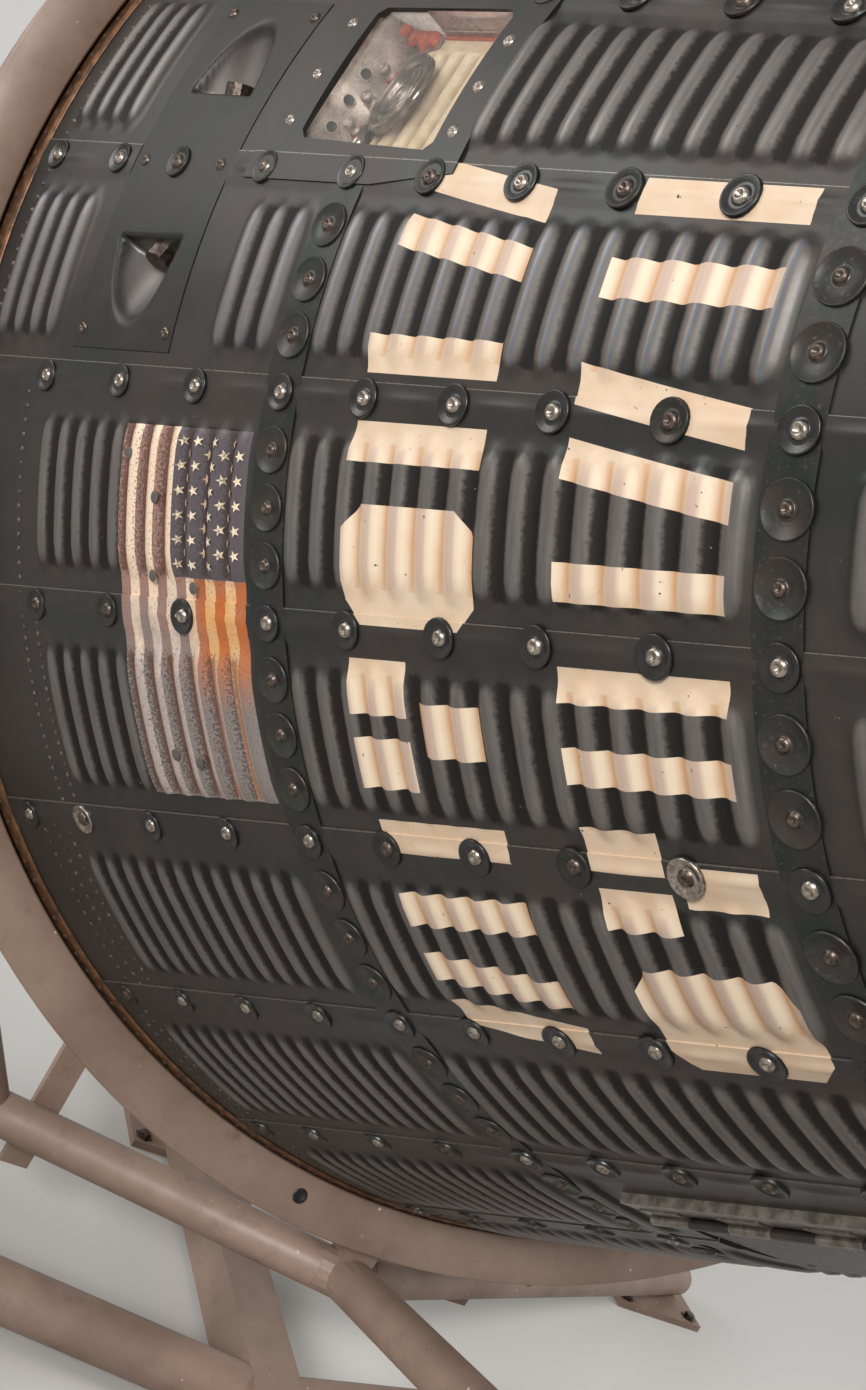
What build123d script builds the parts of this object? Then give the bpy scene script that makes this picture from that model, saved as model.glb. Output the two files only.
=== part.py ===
from build123d import *
import math
import os

# A one-seat ballistic space capsule on its museum cradle, in millimetres.
# Capsule frame, used to draw each piece: +Z towards the nose, Z 0 at the wide end of the cone,
# +X towards the belly, -Y towards the side with the port. to_row() turns it into the row frame.

# Driving dimensions of the capsule
BASE_R = 946.0            # cone's outer radius at its wide end
HALF_ANGLE = 20.0         # cone's half angle, degrees
NECK_R = 406.0            # radius of the recovery section
NECK_LENGTH = 600.0
SHIELD_SPHERE_R = 2032.0  # heat shield's outer sphere
SHIELD_EDGE = 26.0        # cylindrical edge of the heat shield
SHIELD_BACK = -2.0
ANTENNA_R0 = 372.0
ANTENNA_R1 = 262.0
ANTENNA_LENGTH = 560.0
NOSE_UP = 15.0            # the cradle's tilt, degrees

# Shingles: thin corrugated panels in three rows, one every 15 degrees round the cone.
# Each is made flat across, like a cooper's stave: a corrugated field between two seam strips.
SHINGLES = 24
STEP = 360.0 / SHINGLES
FIELD = 5.6               # half of the field's angle; the strips take the rest
CIRCUM = 1.0016           # the staves' corners stand this much outside the true cone
SKIN = 8.0                # shingle with its insulation
WALL = 34.0               # pressure wall behind the shingles
FIT = 0.3                 # clearance between neighbouring pieces
PANEL_GAP = 0.8
BEAD_PITCH = 30.6         # along the axis
BEAD_H = 7.0
ROW_AFT = (3.0, 517.6)
ROW_MID = (518.4, 1018.6)
ROW_FORWARD_FROM = 1019.4
CREST_AFT, CREST_MID, CREST_FORWARD = 174.0, 554.0, 1078.0   # each row's first ridge
ROW_MARGIN = 22.0         # plain skin between the last ridge and the row's end
NECK_LAP = 17.6           # the recovery section reaches this far down over the cone's end

# Features on the cone: places along the axis, and seam numbers round it
HATCH_Z = (372.0, 1018.6)
HATCH_FROM, HATCH_TO = 11, 14
PORT_SEAM = -0.5
PORT_HALF = 79.0
PORT_Z = (420.0, 607.0)
PORT_DEPTH = 72.0
PORT_LIP = 6.0
WINDOW_SEAM = 18
WINDOW_Z = (690.0, 1060.0)
WINDOW_HALF = (140.0, 96.0)
WINDOW_FRAME = 30.0
GLASS = 12.0
GLASS_SUNK = 24.0
SCOOP_SEAMS = (0, 12)     # the roll thrusters' places
SCOOP_Z = (188.0, 348.0)
SCOOP_HALF = 13.0         # degrees either side of the seam
SCOOP_R = 52.0            # radius of the slanting hollow, and its greatest depth
SCOOP_DEPTH = 36.0
SCOOP_TILT = 24.0
SCOOP_AT = 40.0           # from the shingle's middle to the hollow's deep end
NOZZLE_R, NOZZLE_SUNK, NOZZLE_LENGTH = 14.0, 18.0, 16.0

# Periscope under the belly, with its hinged door
DOOR_Z = (604.0, 950.0)
DOOR_GAP = 6.0
DOOR_T = 9.0
KNUCKLE_R = 5.0
KNUCKLES = 7
KNUCKLE_GAP = 0.6
LEAF_T = 2.0
STRIP_W = 34.0
SCOPE_Z = 780.0
SCOPE_R = 34.0
SCOPE_LENGTH = 210.0
SCOPE_SUNK = 40.0         # how far the head lies under the door's face when stowed
WELL_HALF_Y, WELL_HALF_Z, WELL_WALL = 62.0, 110.0, 6.0
WELL_DEPTH = 190.0

# Destabiliser flap on the nose
FLAP_T = 8.0
FLAP_HALF = 120.0
FLAP_LENGTH = 236.0
FLAP_HINGE_X = -218.0
FLAP_HINGE_R = 7.0
EAR_Y = 88.0

# Cradle: a ring round the wide end, tube legs, and a saddle under the front of the cone
RING_IN = BASE_R + FIT
RING_WIDTH = 73.7
RING_OUT = RING_IN + RING_WIDTH
RING_FACE, RING_BACK = -8.0, -98.0
TUBE = 60.3
FLOOR_TUBE = 76.0
FOOT, FOOT_T = 190.0, 12.0
HUB_UNDER = (-43.4, 62.4) # where the tubes meet, behind and under the ring's lowest rim
HUB_HEIGHT = 262.2        # the same point over the floor
HUB_SIZE = (90.0, 84.0, 90.0)
HUB_SIDES = 16
LUG = 44.0
LEG_FOOT = (-462.0, 1070.0)
CROSS_FOOT = (-10.0, 1080.0)
KEEL_X = (-560.0, 1330.0)
SADDLE_Z = (1090.0, 1150.0)
SADDLE_SPAN = 66.0
SADDLE_T, PAD_T = 14.0, 10.0
SPINE_RISE = 19.0
PROP_Y = 368.5
PROP_BACK = 41.5          # front of the flat bar behind the leg's middle line
PROP_BELOW = 84.0         # its lower end under that line
PROP_W, PROP_T = 40.0, 14.0
BRACE_AT = 60.0           # degrees round the ring from its lowest point
BRACE_ON_LEG = 0.405
BRACE_D = 48.0

TAN = math.tan(math.radians(HALF_ANGLE))
KF = CIRCUM * math.cos(math.radians(FIELD))
KS = CIRCUM * math.cos(math.radians(STEP / 2 - FIELD))
LEAN = math.degrees(math.atan(TAN * KF))
COS, SIN = math.cos(math.radians(LEAN)), math.sin(math.radians(LEAN))
CONE_TOP = (BASE_R - NECK_R) / TAN
NECK_TOP = CONE_TOP + NECK_LENGTH
NOSE = NECK_TOP + ANTENNA_LENGTH
ROW_FORWARD = (ROW_FORWARD_FROM, CONE_TOP - NECK_LAP)
WALL_Z = (SHIELD_BACK + FIT, CONE_TOP - NECK_LAP)
WHOLE = SKIN + FIT + WALL

HUB = (
    RING_OUT * math.sin(math.radians(NOSE_UP)) + HUB_UNDER[0],
    -RING_OUT * math.cos(math.radians(NOSE_UP)) - HUB_UNDER[1],
)
FLOOR = HUB[1] - HUB_HEIGHT


def skin_r(z):
    """Radius of the true cone at z."""
    return BASE_R - z * TAN


def face_x(z, out=0.0):
    """Distance from the axis to a stave's flat face at z, or to a plane out from it."""
    return KF * skin_r(z) + out / COS


def psi(seam):
    """Angle in degrees from the belly line to a seam number."""
    return seam * STEP - 90.0


def prism(outline, half=400.0):
    """A block with an outline of (x, z) points, the same on both sides of the XZ plane."""
    face = make_face(Polyline([(x, 0, z) for x, z in outline], close=True))
    return extrude(face, half, dir=(0, 1, 0), both=True)


def wedge(a0, a1, z0=-200.0, z1=2200.0, reach=1500.0):
    """A tall wedge from the axis between two angles, used to trim."""
    ends = [(reach * math.cos(math.radians(a)), reach * math.sin(math.radians(a))) for a in (a0, a1)]
    return Pos(0, 0, z0) * extrude(make_face(Polyline([(0, 0), *ends], close=True)), z1 - z0)


def staves(z0, z1, out):
    """A solid 24-sided frustum whose flats lie out from the shingles' flat faces."""
    plan = RegularPolygon(face_x(z0, out), SHINGLES, major_radius=False)
    return extrude(Pos(0, 0, z0) * plan, z1 - z0, taper=LEAN)


def ring(inner, outer, z0, z1):
    """A flat-ended ring about the axis, many-sided so that its mesh stays small."""
    sides = 3 * SHINGLES
    plan = RegularPolygon(outer, sides) - RegularPolygon(inner, sides, major_radius=False)
    return Pos(0, 0, z0) * extrude(plan, z1 - z0)


def faceted(r, sides, length, taper=0.0):
    """A many-sided bar along Z, for small round forms whose facets must stay few."""
    return extrude(RegularPolygon(r, sides), length, taper=taper)


def on_skin(seam, z, out=0.0):
    """A plane on the flat face at a seam number: x round the cone, y towards the nose, z out."""
    a = math.radians(psi(seam))
    r = face_x(z, out)
    return Plane(
        origin=(r * math.cos(a), r * math.sin(a), z),
        x_dir=(-math.sin(a), math.cos(a), 0),
        z_dir=(COS * math.cos(a), COS * math.sin(a), SIN),
    )


def tube(p, q, d, sides=None):
    """A round bar between two points, or one with flat sides."""
    p, q = Vector(*p), Vector(*q)
    section = RegularPolygon(d / 2, sides) if sides else Circle(d / 2)
    return extrude(Plane(origin=p, z_dir=q - p) * section, (q - p).length)


def block(low, high):
    """A box between two corners."""
    size = [b - a for a, b in zip(low, high)]
    return Pos(*[(a + b) / 2 for a, b in zip(low, high)]) * Box(*size)


def largest(shape):
    """The main solid of a trimmed shape."""
    return max(shape.solids(), key=lambda s: s.volume)


def group(*shapes):
    """Several solids as one node."""
    return Compound(children=[s for shape in shapes for s in shape.solids()])


def to_row(shape):
    """Capsule frame to row frame: nose along +X and up by the cradle's tilt."""
    return Rot(Y=90.0 - NOSE_UP) * shape


def row_point(x, y, z):
    """The same turn for one point."""
    a = math.radians(90.0 - NOSE_UP)
    return (x * math.cos(a) + z * math.sin(a), y, z * math.cos(a) - x * math.sin(a))


def stave(z0, z1, first=None, thick=SKIN, trims=(PANEL_GAP / 2, PANEL_GAP / 2)):
    """One shingle centred on the X axis: a corrugated field between two flat seam strips."""
    outer = [(face_x(z0), z0)]
    count = 0 if first is None else round((z1 - ROW_MARGIN - first) / BEAD_PITCH)
    for i in range(count):
        valley, crest = first + (i - 0.5) * BEAD_PITCH, first + i * BEAD_PITCH
        outer.append((face_x(valley), valley))
        outer.append((face_x(crest) + BEAD_H * COS, crest + BEAD_H * SIN))
    if count > 0:
        last = first + (count - 0.5) * BEAD_PITCH
        outer.append((face_x(last), last))
    outer.append((face_x(z1), z1))
    back = [(face_x(z1, -thick), z1), (face_x(z0, -thick), z0)]
    body = prism(outer + back) & wedge(-FIELD, FIELD)
    lift = KS / KF
    flat = [(face_x(z) * lift, z) for z in (z0, z1)]
    deep = [(face_x(z) * lift - thick - 30, z) for z in (z1, z0)]
    front = prism([back[1], back[0], (1200, z1), (1200, z0)])
    for side, trim in zip((-1, 1), trims):
        edge = STEP / 2 - math.degrees(trim / skin_r((z0 + z1) / 2))
        strip = Rot(Z=side * STEP / 2) * prism(flat + deep)
        strip &= wedge(*sorted((side * FIELD, side * edge)))
        body += strip & front
    return body


def pieces_out(panels, cutter):
    """Take a cutter out of only those panels that it reaches."""
    box = cutter.bounding_box()
    out = []
    for panel in panels:
        own = panel.bounding_box()
        near = all(
            getattr(own.min, k) < getattr(box.max, k) and getattr(box.min, k) < getattr(own.max, k)
            for k in "XYZ"
        )
        out.append(panel - cutter if near else panel)
    return out


def port_block(grow, low, high):
    """The rectangular port's volume between two depths under and over the flat face."""
    mid = sum(PORT_Z) / 2
    tall = (PORT_Z[1] - PORT_Z[0]) / COS
    plane = on_skin(PORT_SEAM, mid)
    plan = plane * Rectangle(2 * (PORT_HALF + grow), tall + 2 * grow)
    return extrude(Pos(*(plane.z_dir * low)) * plan, high - low, dir=plane.z_dir)


def window_block(grow, low, high):
    """The tapered window's volume, square to the skin at the top of the cone."""
    mid = sum(WINDOW_Z) / 2
    half = (WINDOW_Z[1] - WINDOW_Z[0]) / 2 / COS
    wide, narrow = WINDOW_HALF
    points = [(-wide, -half), (wide, -half), (narrow, half), (-narrow, half)]
    plane = on_skin(WINDOW_SEAM, mid)
    plan = make_face(Polyline(points, close=True))
    if grow:
        plan = offset(plan, grow, kind=Kind.INTERSECTION)
    return extrude(Pos(*(plane.z_dir * low)) * (plane * plan), high - low, dir=plane.z_dir)


def door_half(z, grow=0.0):
    """Half width of the door at z; its flat is one stave wide and centred on the belly seam."""
    return face_x(z) * math.tan(math.radians(STEP / 2)) + grow


def door_block(grow, low, high, left=0.0):
    """The door's flat volume between two heights over its face, wider by left on the hinge side."""
    z0, z1 = DOOR_Z[0] - grow, DOOR_Z[1] + grow
    plane = on_skin(6, (z0 + z1) / 2)
    half = (z1 - z0) / 2 / COS
    w0, w1 = door_half(z0, grow), door_half(z1, grow)
    points = [(-w0 - left, -half), (w0, -half), (w1, half), (-w1 - left, half)]
    plan = plane * make_face(Polyline(points, close=True))
    return extrude(Pos(*(plane.z_dir * low)) * plan, high - low, dir=plane.z_dir)


def scoop_sector(seam, grow=0.0):
    """The sector that a roll thruster's plate takes, right through skin and wall."""
    wide = SCOOP_HALF + math.degrees(grow / skin_r(SCOOP_Z[0]))
    return wedge(psi(seam) - wide, psi(seam) + wide, SCOOP_Z[0] - grow, SCOOP_Z[1] + grow)


def scoop(seam, way):
    """The slanting hollow that a thruster blows along, and the nozzle at its deep end."""
    lean = math.cos(math.radians(SCOOP_TILT))
    high = SCOOP_R * lean - SCOOP_DEPTH
    face = on_skin(seam + way * 0.5, sum(SCOOP_Z) / 2)
    start = face * Pos(-way * SCOOP_AT, 0, high) * Rot(Y=way * (90 - SCOOP_TILT))
    hollow = Cylinder(SCOOP_R, 200, align=(Align.CENTER, Align.CENTER, Align.MIN))
    drop = (high + NOZZLE_SUNK) / lean
    nozzle = Pos(way * drop, 0, FIT) * faceted(NOZZLE_R, 12, NOZZLE_LENGTH)
    return start * hollow, start * nozzle


def shingle_rows():
    """Three rows of separate panels, cut for the hatch, port, window, door and roll thrusters."""
    cutters = [
        port_block(FIT, -60, 60),
        window_block(WINDOW_FRAME + FIT, -80, 80),
        door_block(DOOR_GAP, -60, 60, STRIP_W + FIT),
        *[scoop_sector(seam, FIT) for seam in SCOOP_SEAMS],
    ]
    rows = {
        "shingles_aft": (ROW_AFT, CREST_AFT, HATCH_Z[0] - PANEL_GAP),
        "shingles_mid": (ROW_MID, CREST_MID, None),
        "shingles_forward": (ROW_FORWARD, CREST_FORWARD, ROW_FORWARD[1]),
    }
    made = {}
    for name, ((z0, z1), first, end_at_hatch) in rows.items():
        plain = stave(z0, z1, first)
        other = stave(z0, end_at_hatch, first) if end_at_hatch else None
        panels = []
        for n in range(SHINGLES):
            in_hatch = HATCH_FROM <= n < HATCH_TO
            if in_hatch and other is None:
                continue
            panels.append(Rot(Z=psi(n + 0.5)) * (other if in_hatch else plain))
        for cutter in cutters:
            panels = pieces_out(panels, cutter)
        made[name] = group(*panels)
    return made


def pressure_wall():
    """The 24-sided pressure wall behind the shingles, with its openings cut."""
    shell = staves(*WALL_Z, -SKIN - FIT) - staves(*WALL_Z, -WHOLE)
    low, high = HATCH_Z[0] - FIT, HATCH_Z[1] + FIT
    trim = math.degrees(FIT / skin_r(low))
    shell -= wedge(psi(HATCH_FROM) - trim, psi(HATCH_TO) + trim, low, high)
    shell -= port_block(FIT, -PORT_DEPTH - 40, 60)
    shell -= window_block(FIT, -90, 60)
    shell -= door_block(DOOR_GAP, -90, 60)
    for seam in SCOOP_SEAMS:
        shell -= scoop_sector(seam, FIT)
    return shell


def side_hatch():
    """The bolted side hatch, three shingles wide and as thick as skin and wall together."""
    panels = []
    count = HATCH_TO - HATCH_FROM
    for i in range(count):
        ends = [0.0 if j else PANEL_GAP / 2 for j in (i, count - 1 - i)]
        lower = stave(HATCH_Z[0], ROW_AFT[1], CREST_AFT + 8 * BEAD_PITCH, WHOLE, ends)
        upper = stave(ROW_AFT[1], HATCH_Z[1], CREST_MID, WHOLE, ends)
        panels.append(Rot(Z=psi(HATCH_FROM + i + 0.5)) * (lower + upper))
    return panels[0].fuse(*panels[1:])


def roll_scoops():
    """Smooth thick plates with two hollows each, and the nozzles at the hollows' small ends."""
    plates, nozzles = {}, []
    shell = staves(*SCOOP_Z, 1.0) - staves(*SCOOP_Z, -WHOLE)
    for name, seam in zip(("roll_scoop_right", "roll_scoop_left"), SCOOP_SEAMS):
        plate = shell & scoop_sector(seam)
        for way in (-1, 1):
            hollow, nozzle = scoop(seam, way)
            plate -= hollow
            nozzles.append(nozzle)
        plates[name] = plate
    return plates, group(*nozzles)


def window_pieces():
    """A raised frame round the window, and the flat pane in the wall's opening."""
    z0, z1 = WINDOW_Z[0] - 60, WINDOW_Z[1] + 60
    shell = staves(z0, z1, 8.0) - staves(z0, z1, -SKIN)
    frame = (shell & window_block(WINDOW_FRAME, -80, 80)) - window_block(0, -90, 90)
    return frame, window_block(0, -GLASS_SUNK, -GLASS_SUNK + GLASS)


def port_pieces():
    """The port's tray, its clear cover, and the bracket and round valve inside."""
    tray = port_block(0, -PORT_DEPTH, 1.0) - port_block(-PORT_LIP, -PORT_DEPTH + 6, 20)
    cover = port_block(-PORT_LIP - FIT, -4.0, -1.0)
    mid = sum(PORT_Z) / 2
    tall = (PORT_Z[1] - PORT_Z[0]) / COS
    floor = on_skin(PORT_SEAM, mid) * Pos(0, 0, -PORT_DEPTH + 6 + FIT)
    side = -(tall / 2 - PORT_LIP - FIT)
    web = block((-58, side, 0), (58, side + 96, 6)) + block((-58, side, 6), (-50, side + 96, 40))
    web += block((-58, side, 6), (58, side + 6, 34))
    for i in (-1, 0, 1):
        web -= Pos(i * 32, side + 52, 3) * Box(18, 40, 20)
    post = block((-44, side + 86, 6), (44, side + 96, 30))
    disc = Pos(8, side + 96 + FIT, 31) * Rot(X=-90) * faceted(27, 24, 9)
    return tray, cover, floor * (web + post), floor * disc


def periscope_pieces():
    """Door on its piano hinge, the fixed strip, the well that it covers, and the periscope."""
    door = door_block(0, -DOOR_T, 0)
    edge = [Vector(face_x(z), -door_half(z), z) for z in DOOR_Z]
    out = on_skin(6, sum(DOOR_Z) / 2).z_dir
    line = (edge[1] - edge[0]).normalized()
    inward = line.cross(out).normalized()
    inward = inward if inward.Y > 0 else inward * -1
    start = edge[0] - inward * (DOOR_GAP / 2) + out * KNUCKLE_R
    length = (edge[1] - edge[0]).length
    pitch = length / KNUCKLES
    hinge = Plane(origin=start, x_dir=inward, z_dir=line)
    up = 1 if hinge.y_dir.dot(out) > 0 else -1
    strip = door_block(DOOR_GAP, -30, 0, STRIP_W) - door_block(DOOR_GAP, -60, 10)
    strip = strip - staves(DOOR_Z[0] - 60, DOOR_Z[1] + 60, -SKIN)
    barrels = {0: [], 1: []}
    for i in range(KNUCKLES):
        z0, z1 = i * pitch + KNUCKLE_GAP / 2, (i + 1) * pitch - KNUCKLE_GAP / 2
        barrel = Pos(0, 0, z0) * faceted(KNUCKLE_R, 12, z1 - z0)
        low, high = sorted((0.0, 22.0 if i % 2 else -20.0))
        flat = sorted((-up * KNUCKLE_R, -up * (KNUCKLE_R - LEAF_T)))
        leaf = block((low, flat[0], z0), (high, flat[1], z1))
        barrels[i % 2].append(hinge * (barrel + leaf))
    door = door.fuse(*barrels[1])
    strip = largest(strip).fuse(*barrels[0])
    ceiling = -DOOR_T - 6.0
    plate = door_block(DOOR_GAP - FIT, ceiling - 8, ceiling)
    deep = face_x(SCOPE_Z) - WELL_DEPTH
    side, tall = WELL_HALF_Y, WELL_HALF_Z
    box = block((deep, -side, SCOPE_Z - tall), (face_x(SCOPE_Z) + 60, side, SCOPE_Z + tall))
    hollow = block(
        (deep + WELL_WALL, -side + WELL_WALL, SCOPE_Z - tall + WELL_WALL),
        (face_x(SCOPE_Z) + 90, side - WELL_WALL, SCOPE_Z + tall - WELL_WALL),
    )
    low, high = ((face_x(z, ceiling - 4), z) for z in (300, 1200))
    well = (box & prism([(100, 300), low, high, (100, 1200)])) + plate - hollow
    hole = SCOPE_R + FIT
    well -= block((deep - 20, -hole, SCOPE_Z - hole), (deep + 20, hole, SCOPE_Z + hole))
    head = face_x(SCOPE_Z) - SCOPE_SUNK
    scope = Pos(head - SCOPE_LENGTH, 0, SCOPE_Z) * Rot(Y=90) * faceted(SCOPE_R, SHINGLES, SCOPE_LENGTH)
    return door, strip, well, scope, (start, start + line * length)


def flap_pieces():
    """The nose flap with its rod, and the two fixed ears with pins that carry it."""
    hinge_z = NOSE + 12.0
    low = hinge_z - FLAP_T / 2
    x, far = FLAP_HINGE_X, FLAP_HINGE_X + FLAP_LENGTH
    plan = [
        (x, -FLAP_HALF + 50), (x + 40, -FLAP_HALF + 50), (x + 60, -FLAP_HALF),
        (far - 40, -FLAP_HALF), (far, -FLAP_HALF + 40),
    ]
    plan += [(px, -py) for px, py in reversed(plan)]
    plate = extrude(Pos(0, 0, low) * make_face(Polyline(plan, close=True)), FLAP_T)
    inside = EAR_Y - 9.0 - 0.6
    flap = plate + Pos(x, inside, hinge_z) * Rot(X=90) * faceted(FLAP_HINGE_R, 12, 2 * inside)
    flap -= Pos(x, 200, hinge_z) * Rot(X=90) * faceted(4.0, 8, 400)
    ears = []
    for side in (-1, 1):
        ear = Pos(x, side * EAR_Y, NOSE + FIT) * Box(
            26, 18, hinge_z - NOSE + 10, align=(Align.CENTER, Align.CENTER, Align.MIN)
        )
        ears.append(ear + Pos(x, side * (EAR_Y - 22) + 18, hinge_z) * Rot(X=90) * faceted(3.0, 8, 36))
    return flap, group(*ears), (x, 0, hinge_z)


def heat_shield():
    """The blunt shield: its sphere is laid out in flat gores, as its mesh has to stay small."""
    sides, steps = 2 * SHINGLES, 4
    flat = math.cos(math.pi / sides)
    centre = math.sqrt(SHIELD_SPHERE_R**2 - BASE_R**2) - SHIELD_EDGE
    outline = [(0, SHIELD_BACK), (BASE_R * flat, SHIELD_BACK)]
    for i in range(steps + 1):
        r = BASE_R * (steps - i) / steps
        outline.append((r * flat, centre - math.sqrt(SHIELD_SPHERE_R**2 - r * r)))
    gore = prism(outline) & wedge(-180 / sides, 180 / sides, -600, 100)
    return gore.fuse(*[Rot(Z=360 / sides * i) * gore for i in range(1, sides)])


def nose_sections():
    """The recovery section with its 12 flat-laid shingles and thruster holes, and the antenna."""
    low = WALL_Z[1] + FIT
    sides = 2 * SHINGLES
    neck = Pos(0, 0, low) * faceted(NECK_R, sides, NECK_TOP - low)
    cuts = [
        Rot(Z=15 + 30 * i) * Pos(NECK_R, 0, (low + NECK_TOP) / 2) * Box(8, 5, NECK_LENGTH * 2)
        for i in range(12)
    ]
    for i in range(4):
        cuts.append(Rot(Z=90 * i) * Pos(NECK_R - 25, 0, NECK_TOP - 110) * Rot(Y=90) * faceted(30, 16, 50))
    neck = neck.cut(*cuts)
    z = NECK_TOP + FIT
    lean = math.degrees(math.atan((ANTENNA_R0 - ANTENNA_R1) / (NOSE - z - 24)))
    antenna = Pos(0, 0, z) * faceted(NECK_R + 6, sides, 24)
    antenna += Pos(0, 0, z + 24) * faceted(ANTENNA_R0, sides, NOSE - z - 24, lean)
    return neck, antenna


def cabin_pieces():
    """Couch moulded to a lying crewman, and the instrument panel in front of it."""
    floor = SHIELD_BACK + FIT
    back = [(-470, 200), (-430, 240), (-300, 150), (40, 150), (170, 210), (250, 520), (330, 560)]
    under = [(430, 230), (450, 160), (300, 480), (270, 470), (225, 150), (150, 87)]
    feet = [(150, floor), (-150, floor), (-150, 87), (-320, 87)]
    couch = prism(back + under + feet, 230)
    z = 880.0
    board = block((-60, -230, z), (face_x(SCOPE_Z) - WELL_DEPTH - FIT, 230, z + 40))
    stay = block((-60, -700, z), (30, 300, z + 40)) & staves(z - 10, z + 60, -WHOLE - FIT)
    return couch, board + stay


def cradle():
    """Ring, legs, floor tubes, saddle and props, in the row frame before it is set on the floor."""
    grown = to_row(ring(RING_IN - 5, RING_OUT + FIT, RING_BACK - FIT, RING_FACE + FIT))
    near_shield = to_row(Pos(0, 0, -0.4) * heat_shield())
    made = {"stand_ring": to_row(ring(RING_IN, RING_OUT, RING_BACK, RING_FACE))}
    deck = FLOOR + FOOT_T + FIT
    top = deck + FLOOR_TUBE
    half = FLOOR_TUBE / 2
    hx, hz = HUB
    sx, sy, sz = [s / 2 for s in HUB_SIZE]
    near_hub = block((hx - sx, -sy, hz - sz), (hx + sx, sy, hz + sz))
    sx, sy, sz = sx + FIT, sy + FIT, sz + FIT
    keep_hub = block((hx - sx, -sy, hz - sz), (hx + sx, sy, hz + sz))
    made["stand_keel"] = block((KEEL_X[0], -half, deck), (KEEL_X[1], half, top))
    mid = sum(SADDLE_Z) / 2
    lift = BEAD_H + FIT
    sector = wedge(-SADDLE_SPAN / 2, SADDLE_SPAN / 2, *SADDLE_Z)
    faces = (lift, lift + PAD_T, lift + PAD_T + FIT, lift + PAD_T + SADDLE_T)
    layers = [staves(*SADDLE_Z, out) for out in faces]
    made["saddle_pad"] = to_row((layers[1] - layers[0]) & sector)
    made["stand_saddle"] = to_row((layers[3] - layers[2]) & sector)
    cx = row_point(face_x(mid, faces[3]), 0, mid)[0]
    below = to_row(staves(mid - 300, mid + 300, faces[3] + FIT))
    column = block((cx - 35, -35, top + FIT), (cx + 35, 35, 0)) - below
    made["stand_column"] = min(column.solids(), key=lambda s: s.center().Z)
    rise = (cx - hx) * math.tan(math.radians(SPINE_RISE))
    spine = tube((hx, 0, hz), (cx, 0, hz + rise), TUBE)
    gate = block((cx - 35 - FIT, -60, -1400), (cx + 80, 60, 0))
    made["stand_spine"] = largest(spine - keep_hub - gate - grown)
    lug = block((hx - 10 - LUG / 2, -LUG / 2, hz), (hx - 10 + LUG / 2, LUG / 2, hz + TUBE))
    end = (cx, 0, hz + rise)
    joint = (tube((hx, 0, hz), end, TUBE, HUB_SIDES) & near_hub) + largest(lug - grown)
    near_keel = block((-900, -half - FIT, FLOOR - 50), (1500, half + FIT, top + 60))
    feet = []
    for side, name in ((-1, "right"), (1, "left")):
        foot = (LEG_FOOT[0], side * LEG_FOOT[1], deck + TUBE / 2 - 3.0)
        cross_foot = (CROSS_FOOT[0], side * CROSS_FOOT[1], deck + half)
        leg = tube((hx, 0, hz), foot, TUBE)
        under = block((-900, -1400, FLOOR - 50), (900, 1400, deck))
        made[f"stand_leg_{name}"] = largest(leg - keep_hub - under)
        joint += tube((hx, 0, hz), foot, TUBE, HUB_SIDES) & near_hub
        cross = tube((hx, 0, deck + half), cross_foot, FLOOR_TUBE)
        made[f"stand_cross_{name}"] = largest(cross - near_keel)
        for x, y, _ in (foot, cross_foot):
            feet.append(Pos(x, y - side * FOOT * 0.35, FLOOR) * Box(
                FOOT, FOOT, FOOT_T, align=(Align.CENTER, Align.CENTER, Align.MIN)
            ))
        fat = tube((hx, 0, hz), foot, TUBE + 2 * FIT)
        at_x, _, at_z = [h + (f - h) * PROP_Y / LEG_FOOT[1] for h, f in zip((hx, 0, hz), foot)]
        y0, y1 = side * PROP_Y - PROP_W / 2, side * PROP_Y + PROP_W / 2
        front = at_x - PROP_BACK
        prop = block((front - PROP_T, y0, at_z - PROP_BELOW), (front, y1, -300))
        prop = [s for s in (prop - fat - near_shield).solids() if s.volume > 1e5]
        made[f"stand_prop_{name}"] = min(prop, key=lambda s: s.center().Z)
        a = math.radians(BRACE_AT * side)
        r = (RING_IN + RING_OUT) / 2
        on_ring = row_point(r * math.cos(a), r * math.sin(a), RING_BACK + 30)
        on_leg = [h + (f - h) * BRACE_ON_LEG for h, f in zip((hx, 0, hz), foot)]
        brace = tube(on_leg, on_ring, BRACE_D) - fat - grown - near_shield
        made[f"stand_brace_{name}"] = largest(brace)
    for x in (KEEL_X[0] + FOOT / 2, KEEL_X[1] - FOOT / 2):
        feet.append(Pos(x, 0, FLOOR) * Box(
            FOOT, FOOT, FOOT_T, align=(Align.CENTER, Align.CENTER, Align.MIN)
        ))
    made["stand_hub"] = largest(joint - grown)
    made["stand_feet"] = group(*feet)
    return made


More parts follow.
